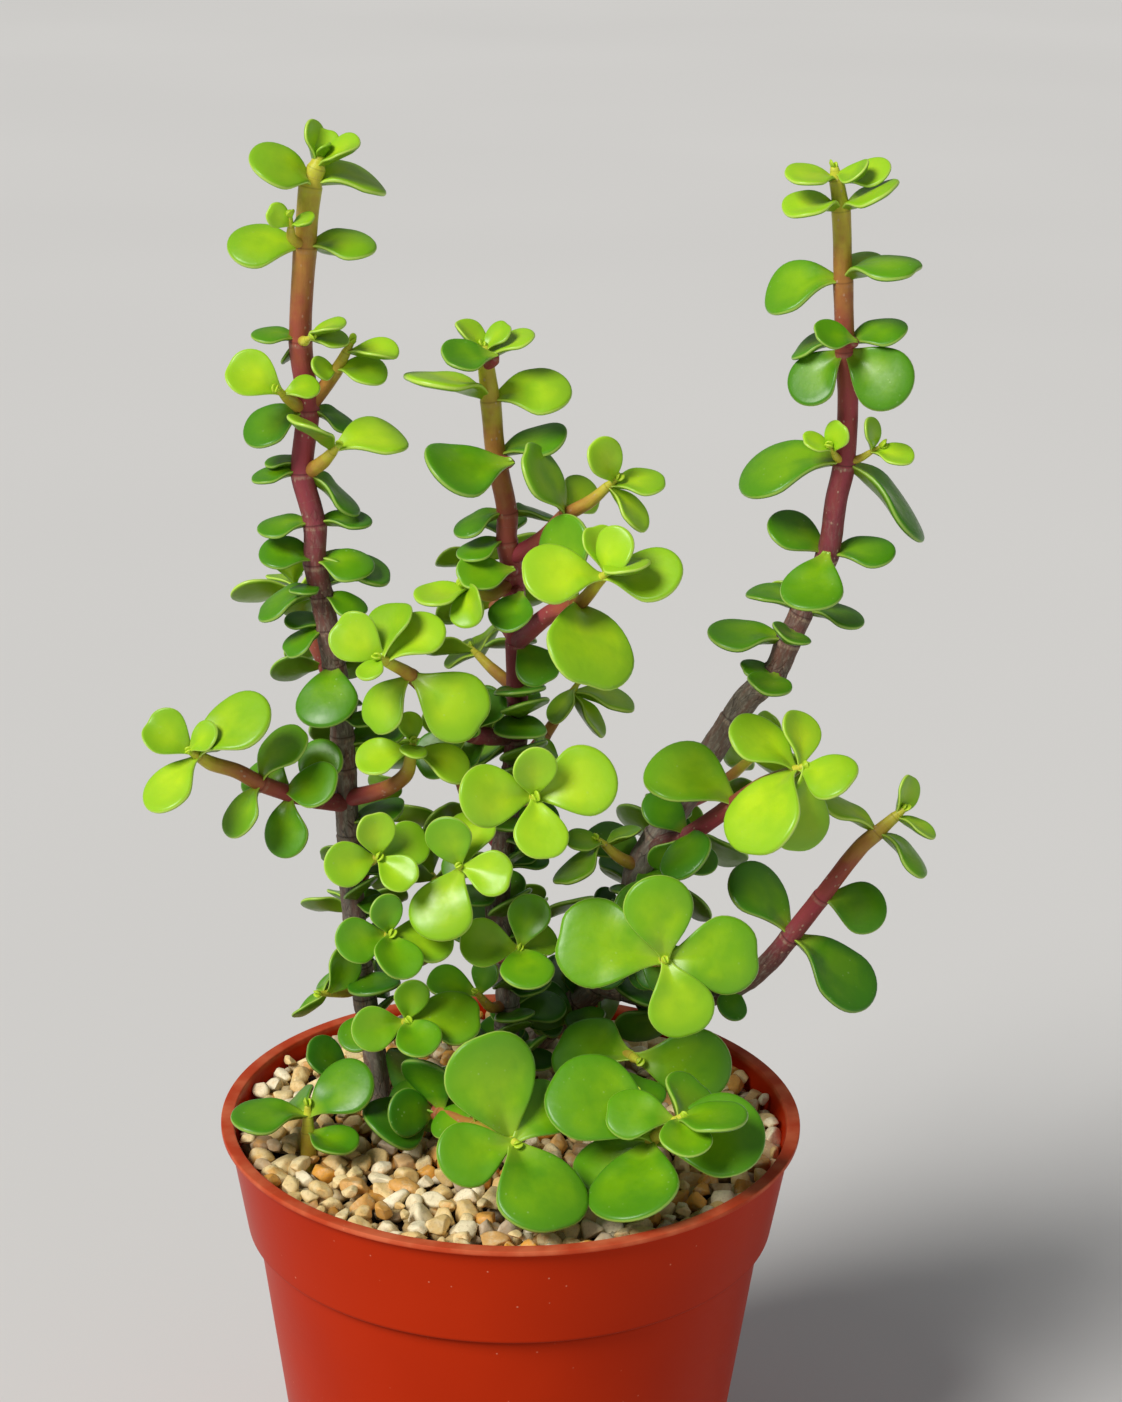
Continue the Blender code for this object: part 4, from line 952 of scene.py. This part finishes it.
def leaf_faces():
    """The faces of a leaf's two skins, from the rim inwards to the spine."""
    half = BODY_ROWS + CAP_ROWS + 1
    around = 2 * half - 1
    rings = len(RIM_ANGLES) + len(INNER_RINGS)
    faces = []
    for skin in (0, 1):
        start = around + skin * (rings * around + half)
        ring_starts = [0] + [start + ring * around for ring in range(rings)]
        spine = start + rings * around
        skin_faces = []
        for outer, inner in zip(ring_starts, ring_starts[1:]):
            for k in range(around):
                after = (k + 1) % around
                skin_faces.append((outer + k, outer + after, inner + after, inner + k))
        last = ring_starts[-1]
        for k in range(around):
            after = (k + 1) % around
            near = spine + min(k, around - 1 - k)
            far = spine + min(after, around - 1 - after)
            if near == far:
                skin_faces.append((last + k, last + after, near))
            else:
                skin_faces.append((last + k, last + after, far, near))
        faces += [face[::-1] for face in skin_faces] if skin else skin_faces
    return faces


def leaf_points(leaf, random):
    """The points of a leaf's skins, with what its surface needs to know of each."""
    parts, widths, spine = leaf_outline()
    length = leaf.length
    half_width = length * LEAF_WIDTH / 2 * random.uniform(*LEAF_SIZES)
    fold = random.uniform(*LEAF_FOLDS)
    bow = random.uniform(*LEAF_BOWS)
    twist = random.uniform(*LEAF_TWISTS)
    sweep = random.uniform(*LEAF_SWEEPS)
    wave = random.uniform(*LEAF_WAVES)
    wave_start = random.uniform(0, 2 * math.pi)
    notch = random.choice(LEAF_NOTCHES)
    dish = random.uniform(*LEAF_DISHES)
    tint = random.uniform(0, 1)
    young = float(1 - smooth_step(leaf.from_tip / FOLDED_REACH)) * (length < LARGE_LEAF)
    cup = random.uniform(*LEAF_CUPS) * young

    # The rim runs from the foot round the tip and back, and each of its points faces one on the spine.
    along = np.concatenate([parts, parts[-2::-1]]) * length
    out = np.concatenate([widths, -widths[-2::-1]]) * half_width
    facing = np.concatenate([spine, spine[-2::-1]]) * length
    inset_along = facing - along
    inset_out = -out
    to_spine = np.hypot(inset_along, inset_out)
    rim_height = leaf.thickness * RIM_SHARE / 2
    rim_width = np.minimum(rim_height * 1.25, 0.9 * to_spine)

    # Each row: places along and across the leaf, heights, distances from the edge, and which way the skin faces.
    rows = [(along, out, 0.0 * along, 0.0 * along, np.zeros_like(along))]
    for side in (1.0, -1.0):
        for angle in np.radians(RIM_ANGLES):
            inset = rim_width * (1 - math.cos(angle))
            share = inset / to_spine
            height = np.full_like(along, side * rim_height * math.sin(angle))
            facing_up = height * 0 + side * math.sin(angle)
            rows.append((along + inset_along * share, out + inset_out * share, height, inset, facing_up))
        for ring in INNER_RINGS:
            inset = rim_width + (to_spine - rim_width) * (1 - ring)
            share = inset / to_spine
            bulge = 1 - ring**2
            rise = (dish if side > 0 else BACK_BULGE) * bulge
            height = np.full_like(along, side * (rim_height + leaf.thickness * rise))
            rows.append((along + inset_along * share, out + inset_out * share, height, inset, height * 0 + side))
        rise = dish if side > 0 else BACK_BULGE
        height = np.full_like(spine, side * (rim_height + leaf.thickness * rise))
        deepest = to_spine[: len(spine)]
        rows.append((spine * length, 0 * spine, height, deepest, height * 0 + side))
    reach, side, height, edge, upper = (np.concatenate([row[k] for row in rows]) for k in range(5))

    # The whole leaf is thinner at its foot, creased there, bowed, twisted, waved and notched a little.
    part = reach / length
    rim_height_share = np.clip(to_spine.min() / leaf.thickness, 0.2, 1.0)
    slim = 1 - (1 - rim_height_share) * smooth_step(1 - part / 0.3)
    height = height * slim
    crease = np.sqrt(side**2 + CREASE_ROUNDING) - math.sqrt(CREASE_ROUNDING)
    height = height + fold * crease * smooth_step(1 - part / CREASED_PART)
    height = height + cup * (np.sqrt(side**2 + CUP_ROUNDING**2) - CUP_ROUNDING)
    height = height + bow * side**2 / half_width * smooth_step((part - 0.25) / 0.5)
    height = height + twist * side * part
    ripple = np.sin(wave_start + 5 * part + 1.5 * side / half_width)
    height = height + wave * length * ripple * smooth_step(part / 0.4)
    tip_dent = notch * length * np.exp(-((side / (0.14 * length)) ** 2)) * smooth_step((part - 0.7) / 0.3)
    moved = side + sweep * length * part**2
    points = leaf.bent(reach - tip_dent, moved, height)
    count = len(points)
    life = np.tile((leaf.age, tint, length / LARGE_LEAF), (count, 1))
    return points, {"leaf_place": np.stack([part, edge, upper], axis=1), "leaf_life": life}


def leaf_age(leaf):
    """0 at a shoot's tip and high up, 1 for the oldest leaves low in the shade: age along the shoot, plus painted
    shade that darkens leaves lower in the plant.
    """
    by_shoot = min(1.0, (leaf.from_tip + (OLD_WOOD if leaf.on_spur else 0.0)) / YOUNG_REACH)
    # Painted shade: the lower a leaf stands under SHADED_BELOW, the older and darker its tone.
    shade_by_height = float(smooth_step((SHADED_BELOW - leaf.foot[2]) / SHADE_DEPTH))
    return YOUNGEST + AGE_BY_SHOOT * by_shoot * (1 - 0.3 * shade_by_height) + AGE_BY_SHADE * shade_by_height


def in_fill_zone(place):
    """Whether a place is in the shaded middle of the plants."""
    return any(left < place[0] < right and low < place[2] < high for left, right, low, high in FILL_ZONES)


def fill_in(grown):
    """Small leaves along the shaded parts of the stems, wherever the others leave them room."""
    random = np.random.default_rng(FILL_SEED)
    stems = stem_points()
    added = []
    for number, (plant, _, _, nodes) in enumerate(SHOOTS):
        points = node_places(nodes)
        run = np.concatenate([[0.0], np.cumsum([np.linalg.norm(b - a) for a, b in zip(points, points[1:])])])
        for reach in np.arange(FILL_STEP, run[-1] - FILL_FROM_TIP, FILL_STEP):
            order = int(np.searchsorted(run, reach)) - 1
            axis = unit(points[order + 1] - points[order])
            foot = points[order] + axis * (reach - run[order])
            for _ in range(FILL_TRIES):
                length = random.uniform(FILL_LEAST, FILL_MOST)
                leaf = Leaf(foot, axis, random.uniform(0, 360), random.uniform(*FILL_RISES), length, 0, LEAF_DROOP)
                if not in_fill_zone(leaf.at(1.0, 0.0)):
                    continue
                if room_round(leaf, number, plant, stems, grown + added) < -FILL_OVERLAP:
                    continue
                leaf.plant = plant
                leaf.from_tip = run[-1] - reach
                leaf.on_spur = False
                leaf.blade_points = leaf.blade()
                leaf.all_points = np.concatenate([leaf.blade_points, leaf.stalk()])
                added.append(leaf)
    return added


def make_leaves(surface):
    """The leaves of each plant as one piece, with a folded pair of young ones on every bud."""
    random = np.random.default_rng(LEAF_SEED)
    faces = leaf_faces()
    grown = grow_leaves()
    grown += fill_in(grown)
    for leaf in grown:
        leaf.age = leaf_age(leaf)
    buds = []
    for plant, _, _, nodes in SHOOTS:
        if is_spur(nodes):
            continue
        points = node_places(nodes)
        axis = tangents(points)[-1]
        turn = random.uniform(0, 180)
        for azimuth in (turn, turn + 180):
            foot = points[-1] + axis * BUD_STEP
            bud = Leaf(foot, axis, azimuth, BUD_RISE, random.uniform(*BUD_SIZES), 0, BUD_DROOP)
            bud.thickness = BUD_THICKNESS
            bud.plant = plant
            bud.from_tip = 0.0
            bud.age = 0.0
            buds.append(bud)
    for plant in dict.fromkeys(shoot[0] for shoot in SHOOTS):
        parts = []
        for leaf in grown + buds:
            if leaf.plant == plant:
                points, values = leaf_points(leaf, random)
                parts.append((points, faces, values))
        points, all_faces, values = merged(parts)
        new_piece(plant + "_leaves", points, all_faces, surface, [plant], values)


def smooth_route(points, radii):
    """A smooth line through a shoot's nodes, as places, radii and distances from the foot, with the nodes' own."""
    points = np.array(points)
    padded = np.concatenate([[2 * points[0] - points[1]], points, [2 * points[-1] - points[-2]]])
    places = []
    widths = []
    for k in range(len(points) - 1):
        before, start, end, after = padded[k : k + 4]
        count = max(2, int(np.linalg.norm(end - start) / STEP))
        for share in np.linspace(0, 1, count, endpoint=False):
            square = share * share
            cube = square * share
            pull = np.linalg.norm(end - start)
            into = unit(end - before) * pull
            onward = unit(after - start) * pull
            places.append(
                (2 * cube - 3 * square + 1) * start
                + (cube - 2 * square + share) * into
                + (3 * square - 2 * cube) * end
                + (cube - square) * onward
            )
            widths.append(radii[k] + (radii[k + 1] - radii[k]) * share)
    places.append(points[-1])
    widths.append(radii[-1])
    places = np.array(places)
    steps = np.linalg.norm(np.diff(places, axis=0), axis=1)
    run = np.concatenate([[0.0], np.cumsum(steps)])
    node_runs = [run[np.linalg.norm(places - point, axis=1).argmin()] for point in points]
    return places, np.array(widths), run, node_runs


def ring_runs(node_runs, nodes, length):
    """Where the stem is ringed: at the nodes that bear leaves, and closer on old wood."""
    rings = [run for run, node in zip(node_runs[1:], nodes[1:]) if len(node) > 1]
    for start, end in zip(node_runs, node_runs[1:]):
        if length - end > OLD_REACH and end - start > LONGEST_OLD_INTERNODE:
            count = math.ceil((end - start) / LONGEST_OLD_INTERNODE)
            rings += [start + (end - start) * k / count for k in range(1, count)]
    return np.array(sorted(rings))


def shoot_points(foot_radius, tip_radius, nodes, sides):
    """A shoot's stem: internodes that widen upwards to each ring, rough bark on old wood, and a bud on its end."""
    points = node_places(nodes)
    radii = shares(foot_radius, tip_radius, len(points))
    spur = is_spur(nodes)
    if spur:
        radii[-1] = tip_radius * TIP_TAPER
    else:
        radii[-1] = tip_radius * END_NODE_SHARE
        points.append(points[-1] + tangents(points)[-1] * BUD_LENGTH)
        radii.append(tip_radius * TIP_TAPER)
    places, widths, run, node_runs = smooth_route(points, radii)
    length = run[-1]
    rings = ring_runs(node_runs[:-1], nodes, length)
    axes = np.gradient(places, axis=0)
    axes /= np.linalg.norm(axes, axis=1)[:, None]
    right = unit(np.array([1.0, 0.0, 0.0]) - axes[0] * axes[0][0])
    rows = []
    place_rows = []
    life_rows = []
    angles = np.linspace(0, 2 * math.pi, sides, endpoint=False)
    pace = 1.0 if sides == MAIN_SIDES else SIDE_AGEING
    for place, width, reach, axis in zip(places, widths, run, axes):
        right = unit(right - axis * np.dot(axis, right))
        back = np.cross(axis, right)
        from_tip = (length - reach) * pace + (SPUR_AGE if spur else 0.0)
        next_ring = rings[rings >= reach - 1e-6]
        last_ring = rings[rings < reach - 1e-6]
        top = next_ring[0] if len(next_ring) else length
        low = last_ring[-1] if len(last_ring) else 0.0
        way = (reach - low) / max(top - low, 0.1)
        nearest = min((reach - low, reach - top), key=abs)
        swell = 0.96 + 0.03 * way + RING_SWELL * way**5 if len(next_ring) else 1.0 - 0.05 * (1 - way)
        groove = GROOVE_DEPTH * math.exp(-((nearest / GROOVE_WIDTH) ** 2))
        old = float(smooth_step((from_tip - BARK_FROM) / BARK_OVER))
        row_radius = []
        for angle in angles:
            x = math.cos(angle) * width
            y = math.sin(angle) * width
            spot = Vector((x * 0.9, y * 0.9, reach * 0.28))
            rough = noise.noise(spot) * (0.04 + 0.16 * old) + noise.noise(spot * 2.7) * (0.01 + 0.09 * old)
            row_radius.append(width * swell - groove * (0.5 + old) + rough)
            place_rows.append((x, y, reach))
            life_rows.append((from_tip, nearest, 0.0))
        row_radius = np.array(row_radius)[:, None]
        rows.append(place + row_radius * (np.cos(angles)[:, None] * right + np.sin(angles)[:, None] * back))
    vertices = np.concatenate(rows)
    faces = []
    for ring in range(len(rows) - 1):
        for k in range(sides):
            a = ring * sides + k
            b = ring * sides + (k + 1) % sides
            faces.append((a, b, b + sides, a + sides))
    last = (len(rows) - 1) * sides
    faces.append(tuple(reversed(range(sides))))
    faces.append(tuple(range(last, last + sides)))
    return vertices, faces, {"bark_place": np.array(place_rows), "bark_life": np.array(life_rows)}


def make_stems(surface):
    """The stems of each plant as one piece."""
    for plant in dict.fromkeys(shoot[0] for shoot in SHOOTS):
        parts = []
        for owner, foot_radius, tip_radius, nodes in SHOOTS:
            if owner == plant:
                sides = MAIN_SIDES if nodes[0][0][2] < SOIL_TOP else SIDE_SIDES
                parts.append(shoot_points(foot_radius, tip_radius, nodes, sides))
        points, faces, values = merged(parts)
        new_piece(plant + "_stems", points, faces, surface, [plant], values)


def stone_shape(fineness):
    """The points and faces of a unit ball."""
    ball = bmesh.new()
    bmesh.ops.create_icosphere(ball, subdivisions=fineness, radius=1.0)
    points = np.array([vertex.co for vertex in ball.verts])
    faces = [tuple(vertex.index for vertex in face.verts) for face in ball.faces]
    ball.free()
    return points, faces


def stem_feet():
    """Where the stems pass the gravel, with their radii."""
    feet = []
    for _, foot_radius, _, nodes in SHOOTS:
        if nodes[0][0][2] < SOIL_TOP:
            low = np.array(nodes[0][0], float)
            high = np.array(nodes[1][0], float)
            share = (GRAVEL_TOP - low[2]) / (high[2] - low[2])
            feet.append((*(low + (high - low) * share)[:2], foot_radius))
    return feet


def scatter(count, tries, random, spacing):
    """Pebbles as (x, y, radius), the large ones first, each clear of the others, of the stems and of the pot."""
    radii = LEAST_STONE + (MOST_STONE - LEAST_STONE) * random.beta(1.6, 2.6, count)
    placed = np.array([(x, y, radius) for x, y, radius in stem_feet()])
    stems = len(placed)
    for radius in sorted(radii, reverse=True):
        for _ in range(tries):
            turn = random.uniform(0, 2 * math.pi)
            reach = (STONE_FIELD - radius * 0.8) * math.sqrt(random.uniform(0, 1))
            x = reach * math.cos(turn)
            y = reach * math.sin(turn)
            room = np.hypot(placed[:, 0] - x, placed[:, 1] - y) - spacing * (placed[:, 2] + radius)
            if room.min() > 0:
                placed = np.vstack([placed, (x, y, radius)])
                break
    return placed[stems:]


def stone_points(x, y, radius, top, ball, random, painted_shade):
    """One pebble: a ball with some flattened sides, squashed, turned and set with its top at a height."""
    points = ball.copy()
    for _ in range(STONE_CUTS):
        side = unit(random.normal(0, 1, 3))
        depth = random.uniform(*STONE_CUT_DEPTHS)
        over = np.clip(points @ side - depth, 0, None)
        points -= np.outer(over * 0.96, side)
    points *= np.array([1.0, random.uniform(0.6, 0.95), random.uniform(0.55, 0.85)]) * radius * STONE_GROWTH
    turn = Matrix.Rotation(random.uniform(0, 2 * math.pi), 3, "Z")
    tip = Matrix.Rotation(random.normal(0, 0.3), 3, "X") @ Matrix.Rotation(random.normal(0, 0.3), 3, "Y")
    points = points @ np.array(turn @ tip).T
    points += np.array([x, y, top - points[:, 2].max()])
    tones, weights = zip(*STONE_TONES)
    tint = random.choice(tones, p=np.array(weights) / sum(weights)) + random.uniform(-0.06, 0.06)
    life = np.tile((tint, random.uniform(0, 1) ** 2, painted_shade * random.uniform(0.5, 1.0)), (len(points), 1))
    return points, {"stone_life": life}


def make_gravel(surface):
    """Two layers of pebbles over a bed that closes what is between them, the lower layer painted darker as shade."""
    random = np.random.default_rng(STONE_SEED)
    # name, how many, tries for each, spacing, depth under the top, fineness of the ball, painted shade of the layer
    layers = (
        ("pebbles_low", LOWER_STONES, 40, 0.80, 1.9, 2, 0.5),
        ("pebbles_top", UPPER_STONES, 60, 0.86, 0.0, 3, 0.0),
    )
    for name, count, tries, spacing, depth, fineness, painted_shade in layers:
        ball, faces = stone_shape(fineness)
        groups = {0: [], 1: []}
        for x, y, radius in scatter(count, tries, random, spacing):
            top = GRAVEL_TOP + STONE_CROWN - depth + GRAVEL_BACK_RISE * (y - x) + random.uniform(-0.5, 0.7)
            points, values = stone_points(x, y, radius, top, ball, random, painted_shade)
            groups[int(x > 0)].append((points, faces, values))
        for side, parts in groups.items():
            points, all_faces, values = merged(parts)
            label = name + ("_left", "_right")[side]
            new_piece(label, points, all_faces, surface, ["gravel"], values)


def round_lathe(profile, segments):
    """A closed body turned about +Z from a profile that starts and ends on the axis."""
    inner = profile[1:-1]
    points = [(0.0, 0.0, profile[0][1])]
    for radius, height in inner:
        for k in range(segments):
            turn = 2 * math.pi * k / segments
            points.append((radius * math.cos(turn), radius * math.sin(turn), height))
    points.append((0.0, 0.0, profile[-1][1]))
    top = len(points) - 1
    faces = []
    for k in range(segments):
        after = (k + 1) % segments
        faces.append((0, 1 + after, 1 + k))
        for ring in range(len(inner) - 1):
            a = 1 + ring * segments + k
            b = 1 + ring * segments + after
            faces.append((a, b, b + segments, a + segments))
        last = 1 + (len(inner) - 1) * segments
        faces.append((top, last + k, last + after))
    return points, faces


def inner_radius(height):
    """The pot's inner radius at a height above its floor."""
    if height < BODY_TOP_HEIGHT:
        return FOOT_RADIUS - WALL + (BODY_TOP_RADIUS - FOOT_RADIUS) * height / BODY_TOP_HEIGHT
    share = (height - COLLAR_FOOT_HEIGHT) / (POT_HEIGHT - LIP_THICKNESS - COLLAR_FOOT_HEIGHT)
    return COLLAR_FOOT_RADIUS - WALL + (COLLAR_TOP_RADIUS - COLLAR_FOOT_RADIUS) * share


def rounded(corners, steps=4):
    """A profile whose corners, given as (radius, height, rounding), are turned into short arcs."""
    profile = []
    for k, (radius, height, rounding) in enumerate(corners):
        here = np.array([radius, height])
        if rounding == 0 or k in (0, len(corners) - 1):
            profile.append((radius, height))
            continue
        before = unit(np.array(corners[k - 1][:2]) - here)
        after = unit(np.array(corners[k + 1][:2]) - here)
        start = here + before * rounding
        end = here + after * rounding
        for share in np.linspace(0, 1, steps + 1):
            bend = (1 - share) ** 2 * start + 2 * share * (1 - share) * here + share**2 * end
            profile.append(tuple(bend))
    return profile


def make_pot(surface):
    """The pot as one turned shell with its drain holes cut."""
    lip_foot = POT_HEIGHT - LIP_THICKNESS
    step_foot = BODY_TOP_HEIGHT - 1.0
    step_top = COLLAR_FOOT_HEIGHT + 1.4
    # radius, height and rounding of each corner
    corners = [
        (0.0, 0.0, 0),
        (FOOT_RADIUS, 0.0, 0.9),
        (BODY_TOP_RADIUS, BODY_TOP_HEIGHT, 0.15),
        (COLLAR_FOOT_RADIUS, COLLAR_FOOT_HEIGHT - 0.2, 0.3),
        (COLLAR_TOP_RADIUS, lip_foot, 0.4),
        (LIP_RADIUS, lip_foot, 0.3),
        (LIP_RADIUS, POT_HEIGHT, 0.22),
        (LIP_INNER_RADIUS, POT_HEIGHT, 0.3),
        (inner_radius(step_top), step_top, 0.4),
        (inner_radius(step_foot), step_foot, 0.4),
        (inner_radius(FLOOR), FLOOR, 0.6),
        (0.0, FLOOR, 0),
    ]
    points, faces = round_lathe(rounded(corners), POT_SEGMENTS)
    pot = new_piece("pot_shell", points, faces, surface, ["pot"])
    drains = bpy.data.meshes.new("drains")
    holes = []
    for k in range(DRAIN_HOLES):
        turn = 2 * math.pi * (k + 0.5) / DRAIN_HOLES
        centre = np.array([math.cos(turn), math.sin(turn), 0]) * DRAIN_RING_RADIUS
        around = np.linspace(0, 2 * math.pi, DRAIN_SIDES, endpoint=False)
        circle = np.stack([np.cos(around), np.sin(around), 0 * around], axis=1) * DRAIN_RADIUS + centre
        low = circle + np.array([0, 0, -1.0])
        high = circle + np.array([0, 0, FLOOR + 1.0])
        walls = []
        for side in range(DRAIN_SIDES):
            after = (side + 1) % DRAIN_SIDES
            walls.append((side, after, after + DRAIN_SIDES, side + DRAIN_SIDES))
        ends = [tuple(reversed(range(DRAIN_SIDES))), tuple(range(DRAIN_SIDES, 2 * DRAIN_SIDES))]
        holes.append((np.concatenate([low, high]), walls + ends, {}))
    hole_points, hole_faces, _ = merged(holes)
    drains.from_pydata((hole_points * MM).tolist(), [], hole_faces)
    cutter = bpy.data.objects.new("drains", drains)
    bpy.context.scene.collection.objects.link(cutter)
    step = pot.modifiers.new("drains", "BOOLEAN")
    step.operation = "DIFFERENCE"
    step.solver = "EXACT"
    step.object = cutter
    graph = bpy.context.evaluated_depsgraph_get()
    cut = bpy.data.meshes.new_from_object(pot.evaluated_get(graph))
    pot.modifiers.clear()
    pot.data = cut
    pot.data.set_sharp_from_angle(angle=math.radians(40))
    bpy.data.objects.remove(cutter, do_unlink=True)


def make_camera():
    """The camera at the photograph's place and angle."""
    data = bpy.data.cameras.new("camera")
    data.lens = CAMERA_LENS
    data.sensor_width = SENSOR
    data.sensor_fit = "AUTO"
    camera = bpy.data.objects.new("camera", data)
    bpy.context.scene.collection.objects.link(camera)
    turn = Matrix.Rotation(math.radians(-CAMERA_RIGHT), 4, "Z")
    pitch = Matrix.Rotation(math.radians(90 - CAMERA_DOWN), 4, "X")
    roll = Matrix.Rotation(math.radians(CAMERA_ROLL), 4, "Z")
    camera.matrix_world = Matrix.Translation(Vector(CAMERA_PLACE) * MM) @ turn @ pitch @ roll
    bpy.context.scene.camera = camera


def add_light(kind, name, place, aim, size, power, tone):
    """A soft light, turned to face a point: a square of a size in metres, or a sun of a width in radians."""
    data = bpy.data.lights.new(name, kind)
    if kind == "SUN":
        data.angle = size
    else:
        data.shape = "SQUARE"
        data.size = size
    data.energy = power
    data.color = tone
    light = bpy.data.objects.new(name, data)
    light.location = place
    light.rotation_euler = (Vector(aim) - Vector(place)).to_track_quat("-Z", "Y").to_euler()
    bpy.context.scene.collection.objects.link(light)


def make_studio():
    """A pale floor, a soft sky and soft lights, the strongest from the upper left."""
    data = bpy.data.meshes.new("floor")
    corners = [(x * FLOOR_REACH, y * FLOOR_REACH, 0) for x, y in ((-1, -1), (1, -1), (1, 1), (-1, 1))]
    data.from_pydata(corners, [], [(0, 1, 2, 3)])
    floor = bpy.data.objects.new("floor", data)
    bpy.context.scene.collection.objects.link(floor)
    paint = Surface("floor_paint", specular_ior_level=0.1)
    speckle = paint.noise(paint.where(), 1.5, 2.0)
    data.materials.append(paint.finish(paint.ramp(speckle, (0.3, "DEDDDB"), (0.7, "E2E1DF")), 0.9))
    world = bpy.data.worlds.new("sky")
    world.use_nodes = True
    back = world.node_tree.nodes["Background"]
    back.inputs["Color"].default_value = colour("E9ECF0")
    back.inputs["Strength"].default_value = SKY_STRENGTH
    bpy.context.scene.world = world
    bpy.context.scene.view_settings.view_transform = "Standard"
    width = math.radians(MAIN_LIGHT_ANGLE)
    add_light("SUN", "key", MAIN_LIGHT_PLACE, LIT_POINT, width, MAIN_LIGHT_POWER, (1.0, 0.98, 0.95))
    add_light("AREA", "fill", SIDE_LIGHT_PLACE, LIT_POINT, SIDE_LIGHT_SIZE, SIDE_LIGHT_POWER, (0.96, 0.98, 1.0))


leaf_skin = leaf_surface()
stem_bark = bark_surface()
stone = stone_surface()
make_leaves(leaf_skin)
make_stems(stem_bark)
make_gravel(stone)
make_pot(pot_surface())
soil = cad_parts["potting_mix"]
soil.data.materials.clear()
soil.data.materials.append(soil_surface())
make_camera()
make_studio()
